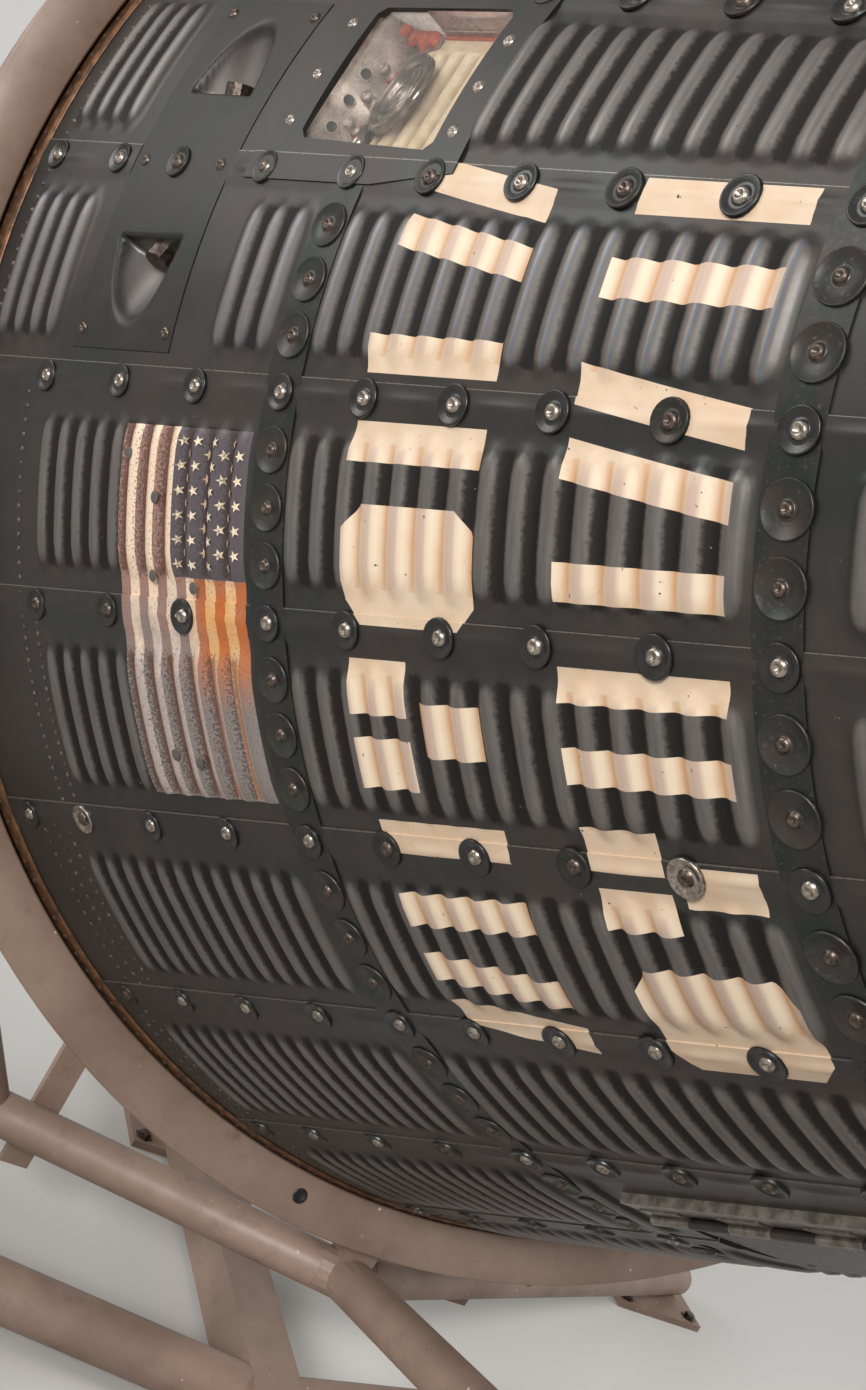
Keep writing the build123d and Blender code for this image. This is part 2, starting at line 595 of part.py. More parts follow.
def build():
    """All nodes in the row frame before they are set on the floor, and the joints' points."""
    nodes = shingle_rows()
    nodes["pressure_wall"] = pressure_wall()
    nodes["side_hatch"] = side_hatch()
    plates, nozzles = roll_scoops()
    nodes.update(plates)
    nodes["roll_nozzles"] = nozzles
    nodes["window_frame"], nodes["window_pane"] = window_pieces()
    tray, cover, bracket, valve = port_pieces()
    nodes["port_tray"], nodes["port_cover"] = tray, cover
    nodes["port_bracket"], nodes["port_valve"] = bracket, valve
    door, strip, well, scope, hinge = periscope_pieces()
    nodes["periscope_door"], nodes["periscope_hinge_strip"] = door, strip
    nodes["periscope_well"], nodes["periscope"] = well, scope
    flap, ears, flap_hinge = flap_pieces()
    nodes["destabiliser_flap"], nodes["flap_ears"] = flap, ears
    nodes["heat_shield"] = heat_shield()
    nodes["recovery_section"], nodes["antenna_housing"] = nose_sections()
    nodes["couch"], nodes["instrument_panel"] = cabin_pieces()
    nodes = {name: to_row(shape) for name, shape in nodes.items()}
    nodes.update(cradle())
    points = {
        "scope": (face_x(SCOPE_Z) - SCOPE_SUNK, 0, SCOPE_Z),
        "door_low": tuple(hinge[0]),
        "door_high": tuple(hinge[1]),
        "flap": flap_hinge,
    }
    return nodes, {name: row_point(*p) for name, p in points.items()}


os.makedirs("parts", exist_ok=True)
made, points = build()
boxes = [shape.bounding_box() for shape in made.values()]
mid_x = (min(b.min.X for b in boxes) + max(b.max.X for b in boxes)) / 2
mid_y = (min(b.min.Y for b in boxes) + max(b.max.Y for b in boxes)) / 2
for name, shape in made.items():
    export_step(Pos(-mid_x, -mid_y, -FLOOR) * shape, f"parts/{name}.step")
for name, (x, y, z) in points.items():
    print(name, round(x - mid_x, 3), round(y - mid_y, 3), round(z - FLOOR, 3))
print("base centre", round(-mid_x, 3), round(-mid_y, 3), round(-FLOOR, 3))
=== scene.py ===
import math
import random

import bmesh
import bpy
from mathutils import Matrix, Vector


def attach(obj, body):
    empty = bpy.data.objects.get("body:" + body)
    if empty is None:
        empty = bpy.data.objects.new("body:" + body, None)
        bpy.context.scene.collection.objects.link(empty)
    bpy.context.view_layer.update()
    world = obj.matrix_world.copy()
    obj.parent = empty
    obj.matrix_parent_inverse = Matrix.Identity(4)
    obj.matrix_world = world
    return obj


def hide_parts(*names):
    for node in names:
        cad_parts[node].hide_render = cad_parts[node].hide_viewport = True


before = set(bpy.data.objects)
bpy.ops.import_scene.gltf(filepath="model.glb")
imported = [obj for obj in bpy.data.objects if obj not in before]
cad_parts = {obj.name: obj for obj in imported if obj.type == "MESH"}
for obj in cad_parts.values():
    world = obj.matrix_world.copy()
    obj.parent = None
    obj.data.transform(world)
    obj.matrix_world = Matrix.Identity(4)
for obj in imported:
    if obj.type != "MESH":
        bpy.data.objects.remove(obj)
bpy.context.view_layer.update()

random.seed(7)

# The capsule's own frame: +Z to the nose, +X to the belly, -Y to the port. Metres.
BASE = Vector((-1.030654, 0.0, 1.309844))
CAPSULE = Matrix.Translation(BASE) @ Matrix.Rotation(math.radians(75), 4, "Y")
BASE_R = 0.946
HALF_ANGLE = math.radians(20)
TAN, COS, SIN = math.tan(HALF_ANGLE), math.cos(HALF_ANGLE), math.sin(HALF_ANGLE)
SEAM = math.radians(15)
SEAMS = 24
SEAM_WIDTH = 0.19         # metres from seam to seam near the marks, for patterns
WINDOW_SEAM = 18
HINGE_SEAM = 5.5
HATCH_SEAMS = (11, 12, 13)
THRUSTER_SEAMS = (0, 12)
QUARTER_SEAMS = (0, 6, 12, 18)
PITCH = 0.0306            # from ridge to ridge
RIDGE_H = 0.0068
FIELD = 0.385             # half of a panel's ridged field, in seams
SKIN_T = 0.004
HATCH_T = 0.042
ROOT = "capsule_on_cradle"
LAP = 0.075               # how far each panel's upper edge reaches over its neighbour, in seams
ROWS = {"aft": (0.003, 0.5176), "mid": (0.5184, 1.0186), "forward": (1.0194, 1.466)}

# Ridges of a row, and of the panels that differ: height of the first one and how many
RIDGES = {"aft": [(0.174, 11)], "mid": [(0.554, 15)], "forward": [(1.078, 11)]}
OTHER_RIDGES = {
    ("mid", -1): [(0.6458, 12)],
    ("aft", 0): [(0.0514, 4), (0.4188, 3)],
    ("aft", 3): [(0.1434, 12)],
    **{("aft", n): [(0.0822, 14)] for n in (4, 5, 6)},
    **{("aft", n): [(0.0514, 4)] for n in (-1, 11, 12)},
}

# Hoops over the laps between two rows, by their middle: lower and upper edge, and seams between washers
BANDS = {0.5186: (0.497, 0.5405, 0.25), 1.0196: (0.9985, 1.0365, 1 / 3)}

# Grid of a panel: the height of its rows, and its lines across from its middle in seams
ROW_STEP = 0.0038
ACROSS = (
    -0.575, -0.56, -0.54, -0.52, -0.5, -0.48, -0.46, -0.44, -0.41, -0.385, -0.37, -0.355, -0.335,
    -0.31, -0.28, -0.22, -0.12, 0.0, 0.12, 0.22, 0.28, 0.31, 0.335, 0.355, 0.37, 0.385, 0.405, 0.425,
)
HATCH_ACROSS = (
    -0.5, -0.46, -0.41, -0.385, -0.37, -0.355, -0.335, -0.31, -0.28, -0.22, -0.12,
    0.0, 0.12, 0.22, 0.28, 0.31, 0.335, 0.355, 0.37, 0.385, 0.41, 0.46, 0.5,
)


def smooth(t):
    """Eased step from 0 to 1."""
    t = min(1.0, max(0.0, t))
    return t * t * (3 - 2 * t)


def cone_r(z):
    return BASE_R - z * TAN


def on_cone(s, z, out=0.0):
    """Point in the capsule's frame at a seam number, a height and a distance out from the skin."""
    a = s * SEAM - math.pi / 2
    r = cone_r(z) + out * COS
    return Vector((r * math.cos(a), r * math.sin(a), z + out * SIN))


def seat(s, z, out=0.0, turn=0.0):
    """Matrix of a small part that sits on the skin: x round the cone, y to the nose, z outwards."""
    a = s * SEAM - math.pi / 2
    x = Vector((-math.sin(a), math.cos(a), 0))
    n = Vector((COS * math.cos(a), COS * math.sin(a), SIN))
    axes = Matrix((x, n.cross(x), n)).transposed().to_4x4()
    return Matrix.Translation(on_cone(s, z, out)) @ axes @ Matrix.Rotation(turn, 4, "Z")


def outline(seam, z0, z1, half0, half1, cut=0.0):
    """Corners of an opening in seams and metres, from its half widths; cut takes the corners off."""
    def at(z, side, half):
        return (seam + side * math.atan2(half, cone_r(z)) / SEAM, z)
    if not cut:
        return [at(z0, -1, half0), at(z0, 1, half0), at(z1, 1, half1), at(z1, -1, half1)]
    return [
        at(z0, -1, half0 - cut), at(z0, 1, half0 - cut), at(z0 + cut, 1, half0), at(z1 - cut, 1, half1),
        at(z1, 1, half1 - cut), at(z1, -1, half1 - cut), at(z1 - cut, -1, half1), at(z0 + cut, -1, half0),
    ]


def box_outline(s0, s1, z0, z1):
    return [(s0, z0), (s1, z0), (s1, z1), (s0, z1)]


PORT = outline(-0.5, 0.4262, 0.6008, 0.0724, 0.0724, 0.008)
WINDOW = outline(WINDOW_SEAM, 0.662, 1.088, 0.176, 0.122)
DOOR = [
    (HINGE_SEAM - 0.040 / cone_r(0.6) / SEAM, 0.599), (HINGE_SEAM + 1 + 0.006 / cone_r(0.6) / SEAM, 0.599),
    (HINGE_SEAM + 1 + 0.006 / cone_r(0.95) / SEAM, 0.955), (HINGE_SEAM - 0.040 / cone_r(0.95) / SEAM, 0.955),
]
HATCH = box_outline(11.0, 14.0, 0.3712, 1.0196)
SCOOP_HALF = 13.0 / 15.0
SCOOP_Z = (0.188, 0.348)
SCOOPS = [box_outline(seam - SCOOP_HALF, seam + SCOOP_HALF, *SCOOP_Z) for seam in THRUSTER_SEAMS]
WINDOW_FRAME = outline(WINDOW_SEAM, 0.6615, 1.0885, 0.1765, 0.1215)
HOLES = [PORT, WINDOW, DOOR, HATCH, *SCOOPS]

# Washers on the seams: their heights, and the seam and height of those that are always black
SEAM_FASTENERS = (0.045, 0.158, 0.28, 0.40, 0.62, 0.72, 0.82, 0.92, 1.12, 1.22, 1.32, 1.42)
BLACK_ONES = {(1, 0.158), (1, 0.28), (1, 0.62), (1, 0.72), (2, 0.82), (2, 0.92), (1, 0.82)}

# Middle of each foot plate, in the row frame
FEET = [
    (-1.4927, -1.0035), (-1.0407, -1.0135), (-1.4927, 1.0035),
    (-1.0407, 1.0135), (-1.4957, 0.0), (0.2043, 0.0),
]


def outside(corners, s, z):
    """Distance in metres from an outline: below 0 inside it."""
    scale = cone_r(sum(c[1] for c in corners) / len(corners)) * SEAM
    far = -1.0
    for p, q in zip(corners, corners[1:] + corners[:1]):
        across = Vector((q[1] - p[1], (p[0] - q[0]) * scale)).normalized()
        far = max(far, (s - p[0]) * scale * across.x + (z - p[1]) * across.y)
    return far


# Paint on the shingles, as outlines of seams and metres. The marks are plain bars and wedges.
MARK_SHAPES = {
    "pair": [box_outline(0, 1, 0, 0.3), box_outline(0, 1, 0.68, 1)],
    "slant": [[(0, z), (1, z + 0.22), (1, z + 0.5), (0, z + 0.28)] for z in (0, 0.5)],
    "steps": [box_outline(0, 0.46, 0, 0.42), box_outline(0.54, 1, 0.3, 0.72), box_outline(0, 0.46, 0.6, 1)],
    "slab": [[(0.12, 0), (0.88, 0), (1, 0.2), (1, 0.8), (0.88, 1), (0.12, 1), (0, 0.8), (0, 0.2)]],
    "bar": [box_outline(0, 1, 0, 1)],
}
COLUMNS = {1: (0.617, 0.757), 2: (0.836, 0.981)}
MARKS = [
    (1, -0.1, 0.45, "slant"), (1, 0.72, 1.27, "pair"), (1, 1.45, 1.97, "slab"),
    (1, 2.12, 2.7, "steps"), (1, 2.86, 3.38, "pair"), (1, 3.52, 4.06, "slant"),
    (2, -0.06, 0.5, "pair"), (2, 0.78, 1.42, "slant"), (2, 1.63, 1.8, "bar"),
    (2, 2.08, 2.6, "pair"), (2, 2.8, 3.3, "steps"), (2, 3.5, 4.1, "slab"),
]
FLAG_S = (1.18, 2.83)
FLAG_Z = (0.3055, 0.4905)
CANTON_S = 1.83
STRIPES = 13
STRIPE_W = (FLAG_Z[1] - FLAG_Z[0]) / STRIPES
CANTON_Z = FLAG_Z[1] - 7 * STRIPE_W


def mark_outlines():
    """Every cream mark as an outline with its corners anticlockwise."""
    made = []
    for column, s0, s1, kind in MARKS:
        z0, z1 = COLUMNS[column]
        for shape in MARK_SHAPES[kind]:
            corners = [(s0 + y * (s1 - s0), z0 + x * (z1 - z0)) for x, y in shape]
            made.append(corners[::-1])
    return made


def flag_outlines():
    """The stripes that show, and the canton: (outline, paint)."""
    made = []
    for k in range(STRIPES):
        z0, z1 = FLAG_Z[0] + k * STRIPE_W, FLAG_Z[0] + (k + 1) * STRIPE_W
        s0 = CANTON_S if z1 > CANTON_Z + 0.001 else FLAG_S[0]
        made.append((box_outline(s0, FLAG_S[1], z0, z1), "white" if k % 2 else "red"))
    return made + [(box_outline(FLAG_S[0], CANTON_S, CANTON_Z, FLAG_Z[1]), "blue")]


def ridge(n, s, z, zones):
    """Height of a ridge, 0 to 1; which flank, -1 to 1; and how far down a groove, 0 to 1."""
    for first, count in zones:
        t = (z - first) / PITCH
        if -0.5 <= t <= count - 0.5:
            wave = 0.5 + 0.5 * math.cos(2 * math.pi * t)
            end = FIELD - abs(s - n - 0.5) - (1 - wave) * 0.03
            here = smooth(end / 0.14)
            between = smooth(min(t, count - 1 - t) / 0.3) * smooth(end / 0.05)
            return wave ** 0.6 * here, math.sin(2 * math.pi * t) * here, (1 - wave) * between
    return 0.0, 0.0, 0.0


def skin_form(n, s, z, zones, lap):
    """Everything that lifts a panel's skin: ridges, the seam's shallow bead and the lap."""
    near = min(outside(hole, s, z) for hole in HOLES)
    wave, flank, groove = [value * smooth((near - 0.016) / 0.02) for value in ridge(n, s, z, zones)]
    out = wave * RIDGE_H
    if lap:
        a = s - n
        out += 0.0014 * (1 - smooth((a - 0.05) / 0.05))
        between = math.sin(math.pi * (z - 0.02) / 0.1) ** 2
        out += 0.0018 * math.exp(-(a / 0.022) ** 2) * between * smooth(near / 0.02)
    return out, wave, flank, groove


def cut_along(bm, corners):
    """Cut the flat sheet along an outline, and give the faces inside it."""
    low = [min(c[i] for c in corners) - 1e-4 for i in (0, 1)]
    high = [max(c[i] for c in corners) + 1e-4 for i in (0, 1)]

    def near(face):
        xs, ys = [v.co.x for v in face.verts], [v.co.y for v in face.verts]
        return max(xs) > low[0] and min(xs) < high[0] and max(ys) > low[1] and min(ys) < high[1]

    if not any(near(f) for f in bm.faces):
        return []
    for p, q in zip(corners, corners[1:] + corners[:1]):
        faces = [f for f in bm.faces if near(f)]
        parts = set(faces) | {e for f in faces for e in f.edges} | {v for f in faces for v in f.verts}
        side = Vector((q[1] - p[1], p[0] - q[0], 0)).normalized()
        bmesh.ops.bisect_plane(bm, geom=list(parts), dist=1e-6, plane_co=(*p, 0), plane_no=side)
    return [
        f for f in bm.faces
        if near(f) and outside(corners, *f.calc_center_median().to_2d()) < 0
    ]


def sheet(across, z0, z1, n):
    """A flat grid in seams and metres for one panel."""
    bm = bmesh.new()
    columns, rows = len(across) - 1, round((z1 - z0) / ROW_STEP)
    bmesh.ops.create_grid(bm, x_segments=columns, y_segments=rows, size=0.5)
    for v in bm.verts:
        column = round((v.co.x + 0.5) * columns)
        v.co = (n + 0.5 + across[column], z0 + (v.co.y + 0.5) * (z1 - z0), 0)
    return bm


def verts_of(geometry):
    """The vertices of what an operator made."""
    return [g for g in geometry if isinstance(g, bmesh.types.BMVert)]


def skirt(bm, depth):
    """Turn a sheet's free edges in by its thickness, and keep those edges sharp."""
    rim = [e for e in bm.edges if e.is_boundary]
    for e in rim:
        e.smooth = False
    made = bmesh.ops.extrude_edge_only(bm, edges=rim)["geom"]
    for v in verts_of(made):
        v.co.z -= depth


def unroll_map(bm):
    """Keep the flat place of each corner as a UV map, for paint and grime."""
    layer = bm.loops.layers.uv.new("unrolled")
    for face in bm.faces:
        for loop in face.loops:
            loop[layer].uv = loop.vert.co.xy


def bend(bm, form, place=on_cone):
    """Bend a flat sheet round the skin, and keep the ridges' shape as attributes for the paint."""
    layers = [bm.verts.layers.float.new(name) for name in ("crest", "flank", "groove")]
    for v in bm.verts:
        s, z, out = v.co
        lift, *shape = form(s, z)
        for layer, value in zip(layers, shape):
            v[layer] = value
        v.co = place(s, z, out + lift)


def shown(name, data):
    """A new object in the scene."""
    made = bpy.data.objects.new(name, data)
    bpy.context.scene.collection.objects.link(made)
    return made


def finish_piece(name, bm, materials, replaces=(), capsule=True, smooth_faces=True, body=ROOT):
    """Make a piece of the object: move it into the row frame, shade it and let it ride."""
    if capsule:
        bm.transform(CAPSULE)
    for face in bm.faces:
        face.smooth = smooth_faces
    mesh = bpy.data.meshes.new(name)
    bm.to_mesh(mesh)
    bm.free()
    for material in materials:
        mesh.materials.append(material)
    piece = shown(name, mesh)
    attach(piece, body)
    if replaces:
        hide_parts(*replaces)


def tenths(*profile):
    """A profile's points, given in tenths of a millimetre."""
    return [(r / 1e4, h / 1e4) for r, h in profile]


def lathe(profile, steps):
    """Spin a profile of (radius, height) points about Z."""
    bm = bmesh.new()
    verts = [bm.verts.new((r, 0, h)) for r, h in profile]
    edges = [bm.edges.new(pair) for pair in zip(verts, verts[1:])]
    bmesh.ops.spin(
        bm, geom=verts + edges, axis=(0, 0, 1), cent=(0, 0, 0), angle=2 * math.pi, steps=steps,
        use_merge=True,
    )
    bmesh.ops.remove_doubles(bm, verts=bm.verts, dist=1e-5)
    bmesh.ops.recalc_face_normals(bm, faces=bm.faces)
    return bm


def joined(parts):
    """Several meshes as one."""
    whole = bmesh.new()
    for part in parts:
        mesh = bpy.data.meshes.new("part")
        part.to_mesh(mesh)
        whole.from_mesh(mesh)
        bpy.data.meshes.remove(mesh)
        part.free()
    return whole


def scatter(template, places):
    """Copies of a small part at many places, as one mesh."""
    copies = [template.copy() for place in places]
    for copy, place in zip(copies, places):
        copy.transform(place)
    return joined(copies)


# Materials

def linear(code):
    """An sRGB hex colour as a linear one."""
    parts = [int(code[i:i + 2], 16) / 255 for i in (0, 2, 4)]
    return (*[c / 12.92 if c <= 0.04045 else ((c + 0.055) / 1.055) ** 2.4 for c in parts], 1.0)


def add(tree, kind, inputs=(), output=0, **settings):
    """One node with its settings; inputs are values, hex colours or the sockets that feed it."""
    node = tree.nodes.new("ShaderNode" + kind)
    for key, value in settings.items():
        setattr(node, key, value)
    for key, value in inputs.items() if isinstance(inputs, dict) else enumerate(inputs):
        if isinstance(value, bpy.types.NodeSocket):
            tree.links.new(value, node.inputs[key])
        else:
            node.inputs[key].default_value = linear(value) if isinstance(value, str) else value
    return node.outputs[output] if node.outputs else node


# Settings of a node that lays one colour (7) over another (6) where its factor (0) says
OVER = {"output": 2, "data_type": "RGBA"}
TIMES = {"operation": "MULTIPLY"}
TIMES_PLUS = {"operation": "MULTIPLY_ADD"}


def coated(tree, under, coat, value, *limits):
    """A coat over a colour where a value says: its two limits, and the least and most of the coat."""
    return add(tree, "Mix", {0: add(tree, "MapRange", (value, *limits)), 6: under, 7: coat}, **OVER)


def start(name):
    """A new material with no nodes."""
    material = bpy.data.materials.new(name)
    material.use_nodes = True
    tree = material.node_tree
    tree.nodes.clear()
    return material, tree


def finished(material, tree, shader):
    """The material with its one shader, whose inputs are given."""
    add(tree, "OutputMaterial", {"Surface": add(tree, "BsdfPrincipled", shader)})
    return material


def unrolled(tree):
    """The skin's own flat coordinates, in metres both ways."""
    uv = add(tree, "UVMap", uv_map="unrolled")
    return add(tree, "VectorMath", (uv, (SEAM_WIDTH, 1, 1)), **TIMES)


def seams_round(tree):
    """How far round the skin a place is, in seams."""
    return add(tree, "SeparateXYZ", (add(tree, "UVMap", uv_map="unrolled"),))


def ridge_shape(tree, *names):
    """What the skin's own attributes hold: crest, flank or groove of the ridges."""
    return [add(tree, "Attribute", output="Fac", attribute_name=name) for name in names]


def shaded_side(tree, flank, groove):
    """The groove and the flank that faces away from the nose, where shade is painted in."""
    return add(tree, "Math", (flank, -0.3, groove), **TIMES_PLUS)


def oxidised_alloy():
    """Cobalt alloy sheet, oxidised dark in service: pewter wear and a painted highlight on the crests, soot
    and painted shade in the grooves.
    """
    material, t = start("oxidised_cobalt_alloy")
    flat = unrolled(t)
    crest, flank, groove = ridge_shape(t, "crest", "flank", "groove")
    blotch = add(t, "TexNoise", {"Vector": flat, "Scale": 7.0, "Detail": 6.0, "Roughness": 0.65})
    base = coated(t, "2e302e", "403935", blotch, 0.38, 0.62)
    # Rubbed streaks run along the ridges, about 60 mm long and 5 mm wide
    smear = add(t, "Mapping", {"Vector": flat, "Scale": (16, 190, 1)})
    streak = add(t, "TexNoise", {"Vector": smear, "Scale": 1.0, "Detail": 5.0, "Roughness": 0.6})
    rub = add(t, "MapRange", (streak, 0.30, 0.62, 0.55, 1.0))
    # Lighter on the crests where rubbed: pewter wear, and a painted highlight along each crest
    bare_wear_and_highlight = add(t, "Math", (add(t, "MapRange", (crest, 0.40, 0.80)), rub), **TIMES)
    wear_and_crest_highlight = add(t, "Mix", {0: bare_wear_and_highlight, 6: base, 7: "6f6965"}, **OVER)
    # Soot and painted shade darken the grooves, with ragged edges a few millimetres wide
    grit = add(t, "TexNoise", {"Vector": flat, "Scale": 210.0, "Detail": 5.0, "Roughness": 0.7})
    ragged = add(t, "Math", (grit, groove), operation="ADD")
    soot_and_groove_shade = coated(t, wear_and_crest_highlight, "15110f", ragged, 0.86, 1.22, 0.0, 0.88)
    soot_and_groove_shade = coated(t, soot_and_groove_shade, "120f0e", grit, 0.66, 0.70, 0.0, 0.75)
    # Heat colours on the flanks of the ridges, where the oxide film is thin
    film = add(t, "ValToRGB", (add(t, "MapRange", (flank, -1.0, 1.0)),))
    bands = (
        (0.20, "6f6a66"), (0.34, "8a6a70"), (0.44, "8b8268"),
        (0.53, "5f8378"), (0.62, "5a6690"), (0.78, "6f6a66"),
    )
    stops = film.node.color_ramp.elements
    while len(stops) < len(bands):
        stops.new(0.5)
    for stop, (position, code) in zip(stops, bands):
        stop.position, stop.color = position, linear(code)
    aside = add(t, "Math", (seams_round(t), 0.5), operation="SUBTRACT")
    aside = add(t, "Math", (aside,), operation="ABSOLUTE")
    zone = add(t, "MapRange", (aside, 0.62, 0.25, 0.0, 0.6))
    thin = add(t, "Math", (zone, add(t, "MapRange", (crest, 0.3, 0.8))), **TIMES)
    thin = add(t, "Math", (thin, rub), **TIMES)
    tinted = add(t, "Mix", {0: thin, 6: soot_and_groove_shade, 7: film}, **OVER)
    # Bare metal along each lap edge, under a millimetre wide, which also paints the highlight the edge
    # catches
    lap = add(t, "Math", (seams_round(t), LAP), operation="ADD")
    lap = add(t, "Math", (lap,), operation="FRACT")
    edge = add(t, "MapRange", (lap, 0.0050, 0.0034))
    rubbed = add(t, "Math", (edge, add(t, "MapRange", (streak, 0.32, 0.50, 0.15, 0.75))), **TIMES)
    lap_wear_and_highlight = add(t, "Mix", {0: rubbed, 6: tinted, 7: "857e76"}, **OVER)
    chip = add(t, "TexNoise", {"Vector": flat, "Scale": 95.0, "Detail": 4.0, "Roughness": 0.6})
    rough = add(t, "MapRange", (blotch, 0.3, 0.7, 0.34, 0.52))
    return finished(material, t, {
        "Base Color": coated(t, lap_wear_and_highlight, "8d867c", chip, 0.735, 0.75, 0.0, 0.8),
        "Metallic": 0.62,
        "Roughness": add(t, "Math", (groove, 0.25, rough), **TIMES_PLUS),
        "Normal": add(t, "Bump", {"Height": grit, "Strength": 0.10, "Distance": 0.001}),
    })


def marking_enamel():
    """Old cream enamel brushed over the ridges: chalky, specked with soot, with a painted highlight on one
    flank and tan painted shade on the other flank and in the grooves.
    """
    material, t = start("cream_marking_enamel")
    flat = unrolled(t)
    crest, flank, groove = ridge_shape(t, "crest", "flank", "groove")
    cloud = add(t, "TexNoise", {"Vector": flat, "Scale": 24.0, "Detail": 5.0, "Roughness": 0.6})
    paint = coated(t, "d8c1a8", "cba885", cloud, 0.38, 0.66, 0.0, 0.6)
    crested = coated(t, paint, "bca295", crest, 0.55, 0.95, 0.0, 0.75)
    # Painted highlight on one flank of each ridge, then tan painted shade on the other flank and in the
    # grooves
    painted_flank_highlight = coated(t, crested, "ecdcc0", flank, 0.45, 1.0, 0.0, 0.7)
    painted_flank_shade = coated(t, painted_flank_highlight, "c08a58", shaded_side(t, flank, groove), 0.78, 1.08, 0.0, 0.75)
    spots = add(t, "TexNoise", {"Vector": flat, "Scale": 150.0, "Detail": 5.0, "Roughness": 0.62})
    return finished(material, t, {
        "Base Color": coated(t, painted_flank_shade, "241d19", spots, 0.675, 0.69),
        "Roughness": 0.52,
        "Normal": add(t, "Bump", {"Height": spots, "Strength": 0.15, "Distance": 0.0004}),
    })


def weathered_enamel(name, fresh, bare_wear_and_highlight, groove_shade, scorched=None):
    """Thin enamel baked on the ridges: it turns to speckled bare steel further round the skin, with painted
    shade in its grooves and on one flank.
    """
    material, t = start(name)
    flat = unrolled(t)
    flank, groove = ridge_shape(t, "flank", "groove")
    round_skin = seams_round(t)
    fade = add(t, "TexNoise", {"Vector": flat, "Scale": 30.0, "Detail": 5.0, "Roughness": 0.6})
    along = add(t, "Math", (fade, 1.1, round_skin), **TIMES_PLUS)
    colour = coated(t, fresh, bare_wear_and_highlight, along, 2.45, 2.85)
    if scorched:
        to_nose = add(t, "SeparateXYZ", (add(t, "UVMap", uv_map="unrolled"),), 1)
        heat = add(t, "MapRange", (round_skin, 2.42, 2.15))
        for value, low, high, least, most in (
            (to_nose, 0.405, 0.43, 0.0, 1.0),
            (round_skin, 1.82, 1.84, 0.0, 0.9),
            (fade, 0.3, 0.6, 0.55, 1.0),
        ):
            heat = add(t, "Math", (heat, add(t, "MapRange", (value, low, high, least, most))), **TIMES)
        colour = add(t, "Mix", {0: heat, 6: colour, 7: scorched}, **OVER)
    grit = add(t, "TexNoise", {"Vector": flat, "Scale": 420.0, "Detail": 4.0, "Roughness": 0.7})
    flaked = add(t, "Math", (groove, 0.16, grit), **TIMES_PLUS)
    dotted = coated(t, colour, "3a3230", flaked, 0.56, 0.66, 0.0, 0.8)
    return finished(material, t, {
        # Painted shade darkens the grooves and the flank away from the nose
        "Base Color": coated(t, dotted, groove_shade, shaded_side(t, flank, groove), 0.55, 1.00, 0.0, 0.75),
        "Metallic": 0.15,
        "Roughness": 0.42,
        "Normal": add(t, "Bump", {"Height": grit, "Strength": 0.2, "Distance": 0.0004}),
    })


def speckled(name, code, other, size, rough, metallic=0.0, bump_depth=0.0003, dust=0.0):
    """A plain finish with mottling of a given size in metres, and dust or rub marks over it."""
    material, t = start(name)
    place = add(t, "TexCoord", output="Object")
    cloud = add(t, "TexNoise", {"Vector": place, "Scale": 1 / size, "Detail": 6.0, "Roughness": 0.6})
    colour = coated(t, code, other, cloud, 0.35, 0.65)
    fine = add(t, "TexNoise", {"Vector": place, "Scale": 8 / size, "Detail": 4.0, "Roughness": 0.7})
    if dust:
        colour = coated(t, colour, "8f877d", fine, 0.60, 0.72, 0.0, dust)
    return finished(material, t, {
        "Base Color": colour,
        "Metallic": metallic,
        "Roughness": add(t, "MapRange", (fine, 0.3, 0.7, rough - 0.08, rough + 0.08)),
        "Normal": add(t, "Bump", {"Height": fine, "Strength": 0.3, "Distance": bump_depth}),
    })


def ribbed_enamel():
    """Cream enamel on the port's ribbed liner: satin, with brown painted shade in the grooves."""
    material, t = start("cream_liner_enamel")
    groove, = ridge_shape(t, "groove")
    place = add(t, "TexCoord", output="Object")
    cloud = add(t, "TexNoise", {"Vector": place, "Scale": 60.0, "Detail": 5.0, "Roughness": 0.6})
    paint = coated(t, "f6e8d2", "e0ccaa", cloud, 0.38, 0.64)
    # Painted shade browns the grooves, a little unevenly
    low = add(t, "MapRange", (groove, 0.45, 1.0, 0.0, 0.75))
    grime_and_groove_shade = add(t, "Math", (low, add(t, "MapRange", (cloud, 0.3, 0.6, 0.7, 1.0))), **TIMES)
    return finished(material, t, {
        "Base Color": add(t, "Mix", {0: grime_and_groove_shade, 6: paint, 7: "97784e"}, **OVER),
        "Roughness": 0.5,
    })


def smooth_shingle():
    """Thick smooth shingle: green-black oxide, scratched, with a painted highlight brightening the
    thrusters' hollows.
    """
    material, t = start("smooth_thick_shingle")
    flat = unrolled(t)
    hollow, = ridge_shape(t, "crest")
    blotch = add(t, "TexNoise", {"Vector": flat, "Scale": 11.0, "Detail": 7.0, "Roughness": 0.68})
    base = coated(t, "222725", "342f2c", blotch, 0.36, 0.64)
    # Painted highlight: the hollows lighter the deeper they go
    bright = coated(t, base, "77706c", hollow, 0.15, 0.8, 0.0, 0.8)
    turned = add(t, "Mapping", {"Vector": flat, "Scale": (520, 18, 1), "Rotation": (0, 0, 0.5)})
    hair = add(t, "TexNoise", {"Vector": turned, "Scale": 1.0, "Detail": 3.0})
    return finished(material, t, {
        "Base Color": coated(t, bright, "6c6760", hair, 0.71, 0.75, 0.0, 0.5),
        "Metallic": 0.6,
        "Roughness": add(t, "MapRange", (blotch, 0.3, 0.7, 0.34, 0.5)),
        "Normal": add(t, "Bump", {"Height": blotch, "Strength": 0.15, "Distance": 0.002}),
    })


